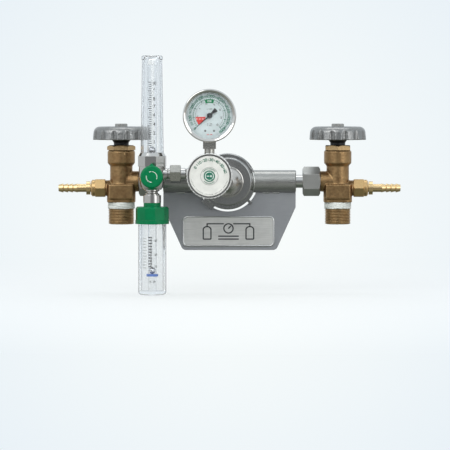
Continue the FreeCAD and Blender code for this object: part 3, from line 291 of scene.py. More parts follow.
def cast_alloy(name, deep, bright):
    """Tumbled grey casting: speckled, with bright high spots and painted shade in its corners."""
    speck_size = 0.7 * MM
    speck_depth = 0.05 * MM
    cloud_size = 8 * MM
    rubbed_from, rubbed_to = 0.52, 0.6
    hollow_from, hollow_to = 0.495, 0.45
    shader = Shader(name, Metallic=1.0)
    speck = shader.noise(speck_size, detail=4, roughness=0.7)
    cloud = shader.noise(cloud_size, detail=3)
    colour = shader.mix(shader.ramp(speck, *SHARP), deep, bright)
    colour = shader.mix(shader.ramp(cloud, *MEDIUM, 0.0, 0.3), colour, deep)
    pointed = shader.add("NewGeometry").outputs["Pointiness"]
    worn = shader.ramp(pointed, rubbed_from, rubbed_to, 0.0, 0.6)
    colour = shader.mix(worn, colour, bright)
    # Darker in the corners, where pointiness is low: painted shade
    hollow = shader.ramp(pointed, hollow_from, hollow_to, 0.0, 0.7)
    colour = shader.mix(hollow, colour, tuple(part * 0.3 for part in deep))
    shader.set("Base Color", colour)
    shader.set("Roughness", shader.ramp(speck, *MEDIUM, 0.24, 0.4))
    shader.bump(speck, speck_depth, 0.7)


def wrap_tape(name):
    """White sealing tape: matt, with grey thread lines showing through."""
    line_height = 0.8 * MM
    line_length = 14
    line_depth = 0.15 * MM
    shader = Shader(name, Roughness=0.75)
    turns = shader.noise(line_height, (line_length, line_length, 1), detail=4)
    colour = shader.mix(shader.ramp(turns, 0.35, 0.6), TAPE_SHADE, TAPE_WHITE)
    shader.set("Base Color", colour)
    shader.bump(turns, line_depth)


# Each material's colour and roughness, and what differs from its kind's usual surface
metal("tube steel", (0.36, 0.36, 0.345), 0.28, (40, 1, 1), metallic=0.8)
metal("nut steel", (0.42, 0.42, 0.4), 0.34, bevel=0.6 * MM, metallic=0.85)
metal("plate steel", (0.29, 0.3, 0.315), 0.5, (30, 1, 1), grain_size=0.5 * MM,
      spread=0.07, bevel=0.8 * MM, metallic=0.5)
metal("brushed plate", (0.5, 0.505, 0.49), 0.36, (60, 1, 1), grain_size=0.35 * MM,
      spread=0.14, metallic=0.3)
# The name plate's raised edge, paler than the plate: a real edge, partly a painted highlight
metal("bright edge", (0.7, 0.7, 0.69), 0.22, spread=0.05)
metal("drum metal", (0.38, 0.38, 0.37), 0.24, spread=0.08, bevel=1.0 * MM)
metal("ring metal", (0.42, 0.42, 0.41), 0.22, spread=0.08, bevel=0.9 * MM)
# The welds' metal is paler than the tubes' steel: real welds, partly a painted highlight for their
# glint
metal("weld bead", (0.6, 0.6, 0.58), 0.22, spread=0.1)
metal("chrome", (0.6, 0.59, 0.57), 0.12, spread=0.03)
metal("polished chrome", (0.66, 0.64, 0.61), 0.07, spread=0.02, bevel=0.0)
metal("bell metal", (0.54, 0.52, 0.49), 0.26, spread=0.08, bevel=0.8 * MM)
metal("dark chrome", (0.34, 0.34, 0.32), 0.2, spread=0.05, bevel=0.6 * MM)
metal("nickel", (0.48, 0.47, 0.43), 0.24, spread=0.06, bevel=0.5 * MM)
metal("polished steel", (0.55, 0.55, 0.57), 0.08, spread=0.02)
plastic("black oxide", (0.012, 0.012, 0.013), 0.42)
cast_brass("valve brass", (0.29, 0.172, 0.08), (0.4, 0.256, 0.122), (0.75, 0.53, 0.28))
metal("machined brass", (0.66, 0.44, 0.205), 0.3, spread=0.1, bevel=0.5 * MM)
metal("bright brass", (0.78, 0.57, 0.3), 0.24, spread=0.06)
cast_alloy("wheel alloy", (0.175, 0.175, 0.17), (0.425, 0.42, 0.41))
wrap_tape("sealing tape")
plastic("dial paint", (0.63, 0.71, 0.715), 0.5)
plastic("pointer black", (0.006, 0.007, 0.008), 0.4)
plastic("white plastic", (0.78, 0.785, 0.74), 0.3)
# The dark ring round the pressure knob's face is painted shade for the gap between face and skirt
plastic("painted gap shade", (0.09, 0.092, 0.09), 0.4)
metal("knob ring", (0.8, 0.8, 0.78), 0.22, spread=0.05, metallic=0.5)
plastic("green plastic", GREEN, 0.22, bevel=0.8 * MM, shine=0.2)
plastic("blue plastic", (0.015, 0.13, 0.55), 0.3)
plastic("rubber", (0.03, 0.03, 0.03), 0.6)
# Each clear plastic's tint and edge colour; the edge colour is painted shade where it is seen edge
# on
clear("lens", (0.99, 1.0, 1.0), (0.9, 0.9, 0.9))
clear("clear cover", (0.93, 0.94, 0.945), (0.14, 0.15, 0.16), haze=0.06)
clear("inner tube", (0.97, 0.975, 0.98), (0.25, 0.27, 0.28), bend=1.18)
clear("clear plug", (0.97, 0.975, 0.98), (0.6, 0.62, 0.63), 0.2, bend=1.08)
for name, colour in INKS.items():
    printed(name, colour)


def both(name):
    return [f"{name}_{side}" for side in SIDES]


NODE_LOOKS = {
    "tube steel": both("crossbar_tube"),
    "nut steel": [*both("inlet_nut"), *both("wheel_nut"), "adjusting_screw", "needle_stem"],
    "plate steel": ["support_plate"],
    "brushed plate": ["name_plate"],
    "drum metal": ["drum_body", "drum_rear_cap", "preset_spring"],
    "ring metal": ["bonnet_ring"],
    "polished chrome": ["gauge_bezel"],
    "chrome": [*both("end_gland"), "outlet_nipple", "flowmeter_body", "tube_collar",
               "float_seat", "needle_bonnet", "outlet_stem"],
    "knob ring": ["knob_skirt"],
    "bell metal": ["control_housing"],
    "dark chrome": ["gauge_case"],
    "nickel": ["gauge_socket", "union_nut"],
    "polished steel": ["float_ball", "lower_ball"],
    "black oxide": both("valve_spindle"),
    "valve brass": [*both("valve_body"), *both("bonnet_nut"), *both("safety_plug")],
    "machined brass": [*both("connector_nut"), "bourdon_tube"],
    "bright brass": both("hose_barb"),
    "wheel alloy": both("handwheel"),
    "sealing tape": both("thread_tape"),
    "dial paint": ["gauge_dial"],
    "pointer black": ["gauge_pointer"],
    "white plastic": ["knob_face"],
    "green plastic": ["flow_knob", "cap_nut"],
    "blue plastic": ["lower_seat"],
    "rubber": ["diaphragm"],
    "lens": ["gauge_lens"],
    "clear cover": ["tube_cover", "lower_tube"],
    "inner tube": ["metering_tube", "lower_metering_tube"],
    "clear plug": ["tube_top_plug"],
}


def dress(piece, look):
    piece.data.materials.clear()
    piece.data.materials.append(LOOKS[look])


for look, nodes in NODE_LOOKS.items():
    for node in nodes:
        dress(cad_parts[node], look)


# Making pieces


def add_object(name, data):
    thing = bpy.data.objects.new(name, data)
    bpy.context.scene.collection.objects.link(thing)
    return thing


def settle(name, data, look, replaced=(), body="regulator", smooth=True):
    """Makes a mesh into a piece of the object: its look and CAD body."""
    piece = add_object(name, data)
    dress(piece, look)
    for face in data.polygons:
        face.use_smooth = smooth
    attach(piece, body)
    if replaced:
        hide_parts(*replaced)


def baked(scratch):
    """A scratch object's mesh with its modifiers applied; the object goes."""
    evaluated = scratch.evaluated_get(bpy.context.evaluated_depsgraph_get())
    data = bpy.data.meshes.new_from_object(evaluated)
    bpy.data.objects.remove(scratch)
    return data


def mesh_of(points, faces):
    data = bpy.data.meshes.new("mesh")
    data.from_pydata(points, [], faces)
    data.update()
    return data


def around(steps):
    """The angles of a full turn's steps."""
    return [2 * math.pi * step / steps for step in range(steps)]


def polar(radius, angle):
    return radius * math.cos(angle), radius * math.sin(angle)


def grid_faces(rows, columns, rows_close=True, columns_close=True, flipped=False):
    """Faces between neighbouring points of a grid whose points are stored row by row.

    A direction that closes joins its last points to its first. Flipped faces look the other
    way."""
    faces = []
    for row in range(rows if rows_close else rows - 1):
        above = (row + 1) % rows
        for column in range(columns if columns_close else columns - 1):
            beside = (column + 1) % columns
            face = (row * columns + column, row * columns + beside,
                    above * columns + beside, above * columns + column)
            faces.append((face[0], *face[:0:-1]) if flipped else face)
    return faces


# Castings: the CAD solids, with their edges and inner corners flowing as cast metal's do

BODY_SKIN = {"voxel": 0.6 * MM, "rounds": 6, "grain": 2.4 * MM, "depth": 0.12 * MM}
WHEEL_SKIN = {"voxel": 0.55 * MM, "rounds": 3, "grain": 1.8 * MM, "depth": 0.1 * MM}
THREAD_CREST = 15.2 * MM
THREAD_PITCH = 1.8 * MM
THREAD_DEPTH = 1.1 * MM
THREAD_STEPS = 96
THREAD_ROOT = THREAD_CREST - THREAD_DEPTH
# Height in pitches and radius, over one pitch
THREAD_PROFILE = [
    (0.0, THREAD_ROOT), (0.1, THREAD_ROOT), (0.42, THREAD_CREST), (0.58, THREAD_CREST),
    (0.9, THREAD_ROOT),
]
# How far the core stays inside the thread's root, the thread above the inlet's foot, and the
# thread's last turns under the tape
CORE_GAP = 0.1 * MM
THREAD_FOOT = 0.4 * MM
THREAD_UNDER_TAPE = 2 * MM


def softened(node, voxel, rounds, grain, depth):
    """A node's mesh remeshed at voxel, smoothed, and given the slight waviness of a casting."""
    scratch = add_object("scratch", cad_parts[node].data.copy())
    remesh = scratch.modifiers.new("remesh", "REMESH")
    remesh.mode = "VOXEL"
    remesh.voxel_size = voxel
    smooth = scratch.modifiers.new("smooth", "SMOOTH")
    smooth.factor = 0.5
    smooth.iterations = rounds
    data = baked(scratch)
    # All normals are read before any point moves, since each move would renew them all
    normals = [vertex.normal.copy() for vertex in data.vertices]
    places = [vertex.co.copy() for vertex in data.vertices]
    flat = []
    for place, normal in zip(places, normals):
        flat.extend(place + normal * noise.noise(place / grain) * depth)
    data.vertices.foreach_set("co", flat)
    data.update()
    return data


def cut_thread(name, axis, bottom, top):
    """A helical ridge on the valve's inlet, round a core pulled in to the thread's root."""
    steps = int((top - bottom) / THREAD_PITCH * THREAD_STEPS)
    points = []
    for step in range(steps):
        angle = 2 * math.pi * step / THREAD_STEPS
        start = bottom + THREAD_PITCH * (step / THREAD_STEPS - 0.5)
        for rise, radius in THREAD_PROFILE:
            height = min(max(start + rise * THREAD_PITCH, bottom), top)
            right, back = polar(radius, angle)
            points.append((axis + right, back, height))
    faces = grid_faces(steps, len(THREAD_PROFILE), False, False, flipped=True)
    settle(name, mesh_of(points, faces), "valve brass")


def cast_valve(side):
    """The valve's body with cast corners, and its inlet thread."""
    node = f"valve_body_{side}"
    data = softened(node, **BODY_SKIN)
    axis = Span(f"valve_spindle_{side}").middle.x
    tape = Span(f"thread_tape_{side}")
    for vertex in data.vertices:
        out = Vector((vertex.co.x - axis, vertex.co.y))
        if vertex.co.z < tape.high.z - BODY_SKIN["voxel"] and out.length > THREAD_ROOT:
            out *= (THREAD_ROOT - CORE_GAP) / out.length
            vertex.co.x = axis + out.x
            vertex.co.y = out.y
    data.update()
    settle(f"cast_valve_body_{side}", data, "valve brass", [node])
    foot = Span(node).low.z + THREAD_FOOT
    cut_thread(f"inlet_thread_{side}", axis, foot, tape.low.z + THREAD_UNDER_TAPE)


def cast_wheel(side):
    node = f"handwheel_{side}"
    data = softened(node, **WHEEL_SKIN)
    settle(f"cast_handwheel_{side}", data, "wheel alloy", [node], node)


TAPE_SINK = 0.35 * MM
TAPE_DEPTH = 0.9 * MM
TAPE_STEPS = 144
TAPE_LEVELS = 22
TAPE_TURNS = 3.2
TAPE_OVERLAP = 0.22 * MM
TAPE_CRUMPLE = 0.3 * MM
TAPE_RAGGED = 0.9 * MM
TAPE_HANG = 0.2 * MM
TAPE_FOOT = 0.8 * MM
# The scale of the tape's noise round it, along it, in its crumples and in its ragged foot
NOISE_ROUND = 3.0
NOISE_RISE = 9
NOISE_CRUMPLE = 2.2
NOISE_RAGGED = 3.1


def wrap_thread(side):
    """Sealing tape: overlapping turns with ragged edges."""
    node = f"thread_tape_{side}"
    tape = Span(node)
    low, high = tape.low.z, tape.high.z
    outer = tape.radius - TAPE_SINK
    seed = Vector((SIDES[side] * NOISE_ROUND, 0, 0))
    points = []

    def add_point(radius, angle, height):
        right, back = polar(radius, angle)
        points.append((tape.middle.x + right, tape.middle.y + back, height))

    for row in range(TAPE_LEVELS + 1):
        share = row / TAPE_LEVELS
        for step, angle in enumerate(around(TAPE_STEPS)):
            ring = Vector((math.cos(angle), math.sin(angle), 0)) * NOISE_ROUND
            turn = (share * TAPE_TURNS + step / TAPE_STEPS) % 1.0
            overlap = TAPE_OVERLAP * (1 - turn)
            fold = Vector((0, 0, share * NOISE_RISE))
            crumple = noise.noise(ring * NOISE_CRUMPLE + fold + seed) * TAPE_CRUMPLE
            ragged = noise.noise(ring * NOISE_RAGGED + seed) * TAPE_RAGGED
            height = low + share * (high - low) + ragged * (1 - share)
            add_point(outer + overlap + crumple, angle, max(height, low - TAPE_HANG))
    for height in (high, low + TAPE_FOOT):
        for angle in around(TAPE_STEPS):
            add_point(outer - TAPE_DEPTH, angle, height)
    data = mesh_of(points, grid_faces(TAPE_LEVELS + 3, TAPE_STEPS))
    settle(f"wrapped_tape_{side}", data, "sealing tape", [node])


for side in SIDES:
    cast_valve(side)
    cast_wheel(side)
    wrap_thread(side)


# Print and flat marks, drawn in the plane that faces the viewer

BAND_STEP = 4
FIGURE_WEIGHT = 0.03


class Print:
    """Marks of one ink around a centre, as one piece, on a flat surface at a given depth or on an
    upright round wall whose frontmost line lies at that depth."""

    def __init__(self, centre, depth, wall_radius=None):
        self.centre = centre
        self.depth = depth - (WALL_PRINT if wall_radius else PRINT)
        self.wall = wall_radius
        self.mesh = bmesh.new()

    def at(self, right, up):
        depth = self.depth
        if self.wall:
            depth += self.wall - math.sqrt(self.wall**2 - right**2)
        return Vector((self.centre.x + right, depth, self.centre.z + up))

    def face(self, flat):
        """A filled outline given as (right, up) points, anticlockwise to the viewer."""
        self.mesh.faces.new([self.mesh.verts.new(self.at(*point)) for point in flat])

    def box(self, right, up, width, height, angle=0.0):
        """A filled rectangle, in narrow strips where it has to follow a round wall."""
        strips = math.ceil(width / WALL_STRIP) if self.wall else 1
        turn = Matrix.Rotation(angle, 2)
        half = height / 2
        for strip in range(strips):
            start = width * (strip / strips - 0.5)
            end = start + width / strips
            outline = [(start, -half), (end, -half), (end, half), (start, half)]
            self.face([tuple(turn @ Vector(point) + Vector((right, up))) for point in outline])

    def band(self, inner, outer, start, end):
        """A ring's stretch between two radii, from start to end degrees anticlockwise."""
        steps = max(2, int(abs(end - start) / BAND_STEP))
        angles = [math.radians(start + (end - start) * step / steps) for step in range(steps + 1)]
        for first, second in zip(angles, angles[1:]):
            self.face([polar(inner, first), polar(outer, first),
                       polar(outer, second), polar(inner, second)])

    def disc(self, radius, right=0.0, up=0.0, steps=48):
        rim = [polar(radius, angle) for angle in around(steps)]
        self.face([(right + x, up + z) for x, z in rim])

    def ticks(self, angles, inner, outer, width):
        """Short lines along the radius at those angles, in degrees."""
        middle = (inner + outer) / 2
        for angle in angles:
            turn = math.radians(angle)
            self.box(*polar(middle, turn), outer - inner, width, turn)

    def words(self, text, right, up, height, angle=0.0, stretch=1.0):
        """Figures of that height, centred on a point and turned by angle degrees."""
        curve = bpy.data.curves.new("figures", "FONT")
        curve.body = text
        curve.align_x = "CENTER"
        curve.align_y = "CENTER"
        curve.offset = FIGURE_WEIGHT
        data = baked(add_object("figures", curve))
        ups = [vertex.co.y for vertex in data.vertices]
        size = height / (max(ups) - min(ups))
        centre = Vector((0, (max(ups) + min(ups)) / 2, 0))
        turn = Matrix.Rotation(math.radians(angle), 2)
        for vertex in data.vertices:
            flat = (vertex.co - centre) * size
            flat = turn @ Vector((flat.x * stretch, flat.y)) + Vector((right, up))
            vertex.co = self.at(flat.x, flat.y)
        self.mesh.from_mesh(data)
        bpy.data.meshes.remove(data)

    def round_words(self, texts, radius, height, stretch=1.0):
        """Figures set round the centre, their feet towards it: {angle in degrees: text}."""
        for angle, text in texts.items():
            middle = polar(radius, math.radians(angle))
            self.words(text, *middle, height, angle - 90, stretch)

    def settle(self, name, look, slot, body="regulator"):
        data = bpy.data.meshes.new(name)
        self.mesh.to_mesh(data)
        self.mesh.free()
        settle(name, data, look, body=body, smooth=False)


# The gauge's two scales: the angle of zero, the sweep, and the steps between figures and ticks

ZERO_ANGLE = 221.7
DIAL_SWEEP = 270
DIAL_STEPS = 8
DIAL_TICKS = 40
DIAL_UNIT = 500
INNER_STEPS = 7
INNER_TICKS = 28
INNER_UNIT = 4
# The outer scale's line, its ticks' ends and its figures' middles, from the dial's middle
SCALE_LINE = 18.2 * MM
SCALE_FIGURES = 22.4 * MM
SCALE_SMALL_FIGURES = 22.2 * MM
# Small figures inside the scales: text, height above the middle, size and stretch
DIAL_NOTES = [
    ("x 1000", 7.6 * MM, 1.3 * MM, 1.3),
    ("0 - 28", -9.6 * MM, 1.2 * MM, 1.6),
    ("0 - 4000", -11.6 * MM, 1.1 * MM, 1.0),
]
DIAL_SCREWS = (-4.9 * MM, 5.2 * MM)
DIAL_SCREW_RADIUS = 1.25 * MM
DIAL_SCREW_DROP = 17.6 * MM
# Corners of the red start, and of the pointer's tail along the pointer
RED_START = [
    (-4.5 * MM, -1.4 * MM), (-5.0 * MM, -4.2 * MM), (-12.6 * MM, -10.6 * MM),
    (-16.2 * MM, -3.0 * MM), (-15.6 * MM, -1.6 * MM),
]
TAIL = [(3.0 * MM, -1.0 * MM), (10.4 * MM, -2.7 * MM), (10.4 * MM, 2.7 * MM), (3.0 * MM, 1.0 * MM)]
TAIL_DEPTH = 0.35 * MM


def print_dial():
    """The gauge's rings of plain numbers, its red start, green window and small marks."""
    dial = Span("gauge_dial")
    middle, face = dial.middle, dial.low.y

    def turn(share):
        return ZERO_ANGLE - DIAL_SWEEP * share

    def turns(count):
        return [turn(step / count) for step in range(count + 1)]

    scale = Print(middle, face)
    scale.band(SCALE_LINE, 18.6 * MM, turn(1), turn(0))
    scale.ticks(turns(DIAL_TICKS), SCALE_LINE, 20.0 * MM, 0.5 * MM)
    scale.ticks(turns(DIAL_STEPS), 17.0 * MM, 20.2 * MM, 0.8 * MM)
    whole = {turn(n / DIAL_STEPS): str(DIAL_UNIT * n) for n in range(DIAL_STEPS + 1)}
    scale.round_words(whole, SCALE_FIGURES, 3.6 * MM, 0.95)
    between = {
        turn((n + 0.5) / DIAL_STEPS): str(DIAL_UNIT // 2 + DIAL_UNIT * n)
        for n in range(DIAL_STEPS)
    }
    scale.round_words(between, SCALE_SMALL_FIGURES, 2.4 * MM, 0.9)
    scale.settle("dial_scale", "mid green ink", "dial")
    inner = Print(middle, face)
    inner.band(16.2 * MM, 16.45 * MM, turn(1), turn(0))
    inner.ticks(turns(INNER_TICKS), 15.5 * MM, 16.3 * MM, 0.3 * MM)
    figures = {turn(n / INNER_STEPS): str(INNER_UNIT * n) for n in range(INNER_STEPS + 1)}
    inner.round_words(figures, 13.9 * MM, 2.0 * MM)
    for text, up, height, stretch in DIAL_NOTES:
        inner.words(text, 0, up, height, stretch=stretch)
    for right in DIAL_SCREWS:
        inner.disc(DIAL_SCREW_RADIUS, right, -DIAL_SCREW_DROP, 16)
    inner.settle("dial_inner_numbers", "grey ink", "dial")
    window = Print(middle, face - PRINT)
    window.band(14.6 * MM, 18.9 * MM, 73, 107)
    window.settle("dial_green_window", "green ink", "dial")
    mark = Print(middle, face - 2 * PRINT)
    mark.words("O2", 0, 16.7 * MM, 2.0 * MM, stretch=1.4)
    mark.settle("dial_window_mark", "white ink", "dial")
    start = Print(middle, face - PRINT)
    start.face(RED_START)
    start.words("100 - 200", 0, -21.8 * MM, 1.3 * MM)
    start.settle("dial_red_start", "red ink", "dial")
    faint = Print(middle, face - 2 * PRINT)
    faint.words("- - -", -11.2 * MM, -3.9 * MM, 0.7 * MM, stretch=1.3)
    faint.settle("dial_red_marks", "white ink", "dial")
    # The pointer's tail, wider than the blade and lying on it
    tail = Print(middle, Span("gauge_pointer").low.y + TAIL_DEPTH)
    back = Matrix.Rotation(math.radians(ZERO_ANGLE - 180), 2)
    tail.face([tuple(back @ Vector(point)) for point in TAIL])
    tail.settle("pointer_tail", "pointer black", "pointer_black", "gauge_pointer")


# Turned pieces

RING_STEPS = 160
COVER_STEPS = 120
COVER_ROUND = 8
COVER_HEAD = 11.65 * MM
COVER_WALL = 2.2 * MM
COVER_CORNER = 2.6 * MM
COVER_BEAD = 0.7 * MM
COVER_NECK = 5.0 * MM
COVER_SHARP = 28
RING_OPENING = 15 * MM
BEZEL_RIM = 4.2 * MM
# The polished bead added on the housing flange for its highlight: its radius, the radius of its
# section, how far it stands in front of the ring, and the steps round its section
LIP_RADIUS = 17.6 * MM
LIP_WIDTH = 0.6 * MM
LIP_FRONT = 2.4 * MM
LIP_SECTION = 8


def turned_ring(name, look, middle, profile, replaced=(), body="regulator"):
    """A ring turned round an axis that points at the viewer, from (radius, depth) corners."""
    points = []
    for angle in around(RING_STEPS):
        for radius, depth in profile:
            right, up = polar(radius, angle)
            points.append((middle.x + right, depth, middle.z + up))
    data = mesh_of(points, grid_faces(RING_STEPS, len(profile)))
    settle(name, data, look, replaced, body, smooth=False)


def turn_bezel():
    """The gauge's rolled bezel: a rounded rim and a shallow cone down to the lens."""
    bezel = Span("gauge_bezel")
    lens_front = Span("gauge_lens").low.y
    inner = Span("gauge_case").radius
    outer = bezel.radius
    window = outer - BEZEL_RIM
    front, back = bezel.low.y, bezel.high.y
    turned_ring("rolled_bezel", "polished chrome", bezel.middle, [
        (inner, back),
        (inner, lens_front),
        (window, lens_front),
        (window, front + 1.5 * MM),
        (window + 1.3 * MM, front + 0.7 * MM),
        (outer - 1.5 * MM, front),
        (outer - 0.9 * MM, front + 0.15 * MM),
        (outer - 0.6 * MM, front + 0.9 * MM),
        (outer, front + 3.0 * MM),
        (outer, back),
    ], replaced=["gauge_bezel"])


def turn_bonnet_ring():
    """The drum's ring with its turned, bright front edge."""
    ring = Span("bonnet_ring")
    outer = ring.radius
    front, back = ring.low.y, ring.high.y
    turned_ring("turned_bonnet_ring", "ring metal", ring.middle, [
        (RING_OPENING, back),
        (RING_OPENING, front),
        (outer - 1.6 * MM, front),
        (outer - 1.2 * MM, front + 0.1 * MM),
        (outer - 0.3 * MM, front + 0.9 * MM),
        (outer, front + 1.4 * MM),
        (outer, back),
    ], replaced=["bonnet_ring"])


def turn_bell_highlight_bead():
    """A rounded, polished bead on the edge of the control housing's flange, added so that it shows
    a bright highlight arc there.
    """
    ring = Span("bonnet_ring")
    front = ring.low.y - LIP_FRONT
    turned_ring("bell_highlight_bead", "polished chrome", ring.middle, [
        (LIP_RADIUS + LIP_WIDTH * math.cos(turn), front + LIP_WIDTH * math.sin(turn))
        for turn in around(LIP_SECTION)
    ])


def turn_cover():
    """The upper tube's tapered cover, turned finely so that what stands behind it shows cleanly."""
    cover = Span("tube_cover")
    foot, bottom, top = cover.radius, cover.low.z, cover.high.z
    rim = COVER_HEAD + COVER_BEAD
    shoulder = Span("tube_collar").high.z
    neck = top - COVER_NECK
    # Corners as (radius, height), up the outside and down the inside
    outside = [(foot, bottom), (foot, shoulder), (COVER_HEAD, neck), (rim, neck + COVER_BEAD)]
    for step in range(COVER_ROUND + 1):
        angle = math.pi / 2 * step / COVER_ROUND
        outside.append((
            rim - COVER_CORNER + COVER_CORNER * math.cos(angle),
            top - COVER_CORNER + COVER_CORNER * math.sin(angle),
        ))
    inside = [
        (COVER_HEAD - COVER_WALL - COVER_CORNER, top - COVER_WALL),
        (COVER_HEAD - COVER_WALL, neck),
        (foot - COVER_WALL, shoulder),
        (foot - COVER_WALL, bottom),
    ]
    profile = outside + inside
    points = []
    for angle in around(COVER_STEPS):
        for radius, height in profile:
            right, back = polar(radius, angle)
            points.append((cover.middle.x + right, cover.middle.y + back, height))
    count = len(profile)
    crown = len(outside) - 1
    walls = grid_faces(COVER_STEPS, count, flipped=True)
    # At the crown the profile is open, and a disc closes either side instead
    faces = [face for index, face in enumerate(walls) if index % count != crown]
    faces.append(tuple(step * count + crown for step in range(COVER_STEPS)))
    faces.append(tuple(step * count + crown + 1 for step in reversed(range(COVER_STEPS))))
    data = mesh_of(points, faces)
    settle("turned_cover", data, "clear cover", ["tube_cover"])
    data.set_sharp_from_angle(angle=math.radians(COVER_SHARP))


# The knobs' marks; angles in degrees, anticlockwise from the right

KNOB_START = 149
KNOB_STEP = 22
KNOB_STEPS = 6
KNOB_UNIT = 10
# How far the dark ring of painted shade round the knob's face reaches inside and outside its edge,
# and in front of and behind it
GAP_SHADE_INSIDE = 0.2 * MM
GAP_SHADE_OUTSIDE = 1.1 * MM
GAP_SHADE_FRONT = 0.2 * MM
GAP_SHADE_BACK = 0.3 * MM


def mark_knob():
    """The pressure knob's dark ring round its face, painted shade for the gap between face and
    skirt, and its green figures, faint rings and centre disc.
    """
    knob = Span("knob_face")
    middle, front = knob.middle, knob.low.y
    inner, outer = knob.radius - GAP_SHADE_INSIDE, knob.radius + GAP_SHADE_OUTSIDE
    # A dark ring round the face: painted shade standing in for the shadowed gap between face and
    # skirt
    turned_ring("knob_rim", "painted gap shade", middle, [
        (inner, front + GAP_SHADE_BACK),
        (inner, front - GAP_SHADE_FRONT),
        (outer, front - GAP_SHADE_FRONT),
        (outer, front + GAP_SHADE_BACK),
    ], body="pressure_knob")
    figures = Print(middle, front)
    labels = {KNOB_START - KNOB_STEP * n: str(KNOB_UNIT * n) for n in range(KNOB_STEPS + 1)}
    figures.round_words(labels, 18.9 * MM, 3.6 * MM)
    between = [KNOB_START - KNOB_STEP * (n + 0.5) for n in range(KNOB_STEPS)]
    figures.ticks(between, 17.8 * MM, 20.0 * MM, 0.7 * MM)
    figures.settle("knob_numbers", "dark green ink", "white_plastic", "pressure_knob")
    fine = Print(middle, front)
    fine.ticks([192 + 4.6 * n for n in range(35) if n % 7 != 6], 20.6 * MM, 21.6 * MM, 0.6 * MM)
    fine.band(9.9 * MM, 10.2 * MM, 0, 360)
    fine.settle("knob_fine_marks", "grey ink", "white_plastic", "pressure_knob")
    disc = Print(middle, front)
    disc.disc(6.5 * MM)
    for start, end in ((40, 141), (228, 309)):
        disc.ticks(range(start, end, 10), 7.9 * MM, 9.0 * MM, 0.8 * MM)
    disc.settle("knob_disc", "mid green ink", "white_plastic", "pressure_knob")
    sign = Print(middle, front - PRINT)
    sign.band(4.4 * MM, 5.1 * MM, 60, 300)
    sign.band(4.4 * MM, 5.1 * MM, -45, 45)
    sign.box(-1.7 * MM, 0, 2.8 * MM, 0.8 * MM)
    sign.box(1.9 * MM, 0, 2.8 * MM, 0.8 * MM)
    sign.box(1.9 * MM, 0, 0.8 * MM, 2.8 * MM)
    sign.settle("knob_sign", "white ink", "white_plastic", "pressure_knob")


def mark_flow_knob():
    """Curved marks, for more and less, on the flow knob's face."""
    knob = Span("flow_knob")
    middle = Vector((knob.middle.x, 0, Span("needle_stem").middle.z))
    arrows = Print(middle, knob.low.y)
    arrows.band(5.9 * MM, 6.4 * MM, -25, 88)
    arrows.ticks([100, 112], 5.8 * MM, 6.6 * MM, 0.9 * MM)
    arrows.ticks(range(172, 263, 18), 5.5 * MM, 6.7 * MM, 0.8 * MM)
    arrows.band(6.0 * MM, 6.3 * MM, 170, 272)
    arrows.settle("flow_knob_arrows", "white ink", "green_plastic", "flow_knob")


# The tubes' scales, by the rows of the photograph at which their figures and ticks stand

UPPER_FIGURES = {
    "10": 85.0, "9": 91.9, "8": 100.4, "7": 107.7, "6": 116.1, "4": 125.3, "2": 134.1, "1": 142.9,
}
UPPER_TICK_ROWS = (84.0, 146.5)
UPPER_GAPS = 29
UPPER_LONG_TICK = 3.8 * MM
UPPER_SHORT_TICK = 2.8 * MM
LOWER_FIGURES = {"30": 240.5, "20": 254.4, "10": 266.0}
LOWER_TICK_ROWS = (237.4, 266.4)
LOWER_GAPS = 10
LOWER_HALF_ROW = 1.45
LOWER_RANGE_ROW = 281.0


def level(row, depth):
    """The height of a row of the photograph, for something that far in front of the crossbar."""
    return (ORIGIN_PIXEL[1] - row) * PIXEL + math.sin(CAMERA_RISE) * depth


def wall_print(tube):
    return Print(Vector((tube.middle.x, 0, 0)), tube.low.y, tube.radius)


def tick_rows(first, last, gaps):
    return [first + (last - first) * step / gaps for step in range(gaps + 1)]


def mark_upper_tube():
    """The flow scale on the upper metering tube: ticks to the left, figures to the right."""
    tube = Span("metering_tube")
    depth = -tube.low.y
    marks = wall_print(tube)
    for step, row in enumerate(tick_rows(*UPPER_TICK_ROWS, UPPER_GAPS)):
        width = UPPER_LONG_TICK if step % 4 == 0 else UPPER_SHORT_TICK
        marks.box(-0.6 * MM - width / 2, level(row, depth), width, 0.9 * MM)
    for text, row in UPPER_FIGURES.items():
        marks.words(text, 2.4 * MM, level(row, depth), 4.0 * MM, stretch=0.9)
    marks.settle("upper_tube_scale", "black ink", "clear_plastic")


def mark_lower_tube():
    """Ticks on the lower metering tube, with figures on the tube round it, and faint marks there
    that paint the ticks' reflection.
    """
    tube = Span("lower_metering_tube")
    depth = -tube.low.y
    marks = wall_print(tube)
    rows = tick_rows(*LOWER_TICK_ROWS, LOWER_GAPS)
    for row in rows:
        marks.box(-2.3 * MM, level(row, depth), 4.4 * MM, 1.5 * MM)
    for row in rows[:-1]:
        marks.box(-1.4 * MM, level(row + LOWER_HALF_ROW, depth), 2.4 * MM, 0.6 * MM)
    marks.settle("lower_tube_ticks", "black ink", "clear_plastic")
    tube = Span("lower_tube")
    depth = -tube.low.y
    figures = wall_print(tube)
    for text, row in LOWER_FIGURES.items():
        figures.words(text, 4.4 * MM, level(row, depth), 2.6 * MM, stretch=0.9)
    figures.words("0 - 30", 0.6 * MM, level(LOWER_RANGE_ROW, depth), 2.2 * MM)
    figures.settle("lower_tube_numbers", "grey ink", "clear_plastic")
    # Faint marks left of the ticks: a painted reflection of the ticks in the outer tube
    faint = wall_print(tube)
    for row in rows:
        faint.box(-8.6 * MM, level(row + 1.0, depth), 4.2 * MM, 0.8 * MM)
    faint.settle("lower_tube_painted_reflection", "painted reflection ink", "clear_plastic")


# The name plate's pictogram, measured from the plate's middle, and its raised edge

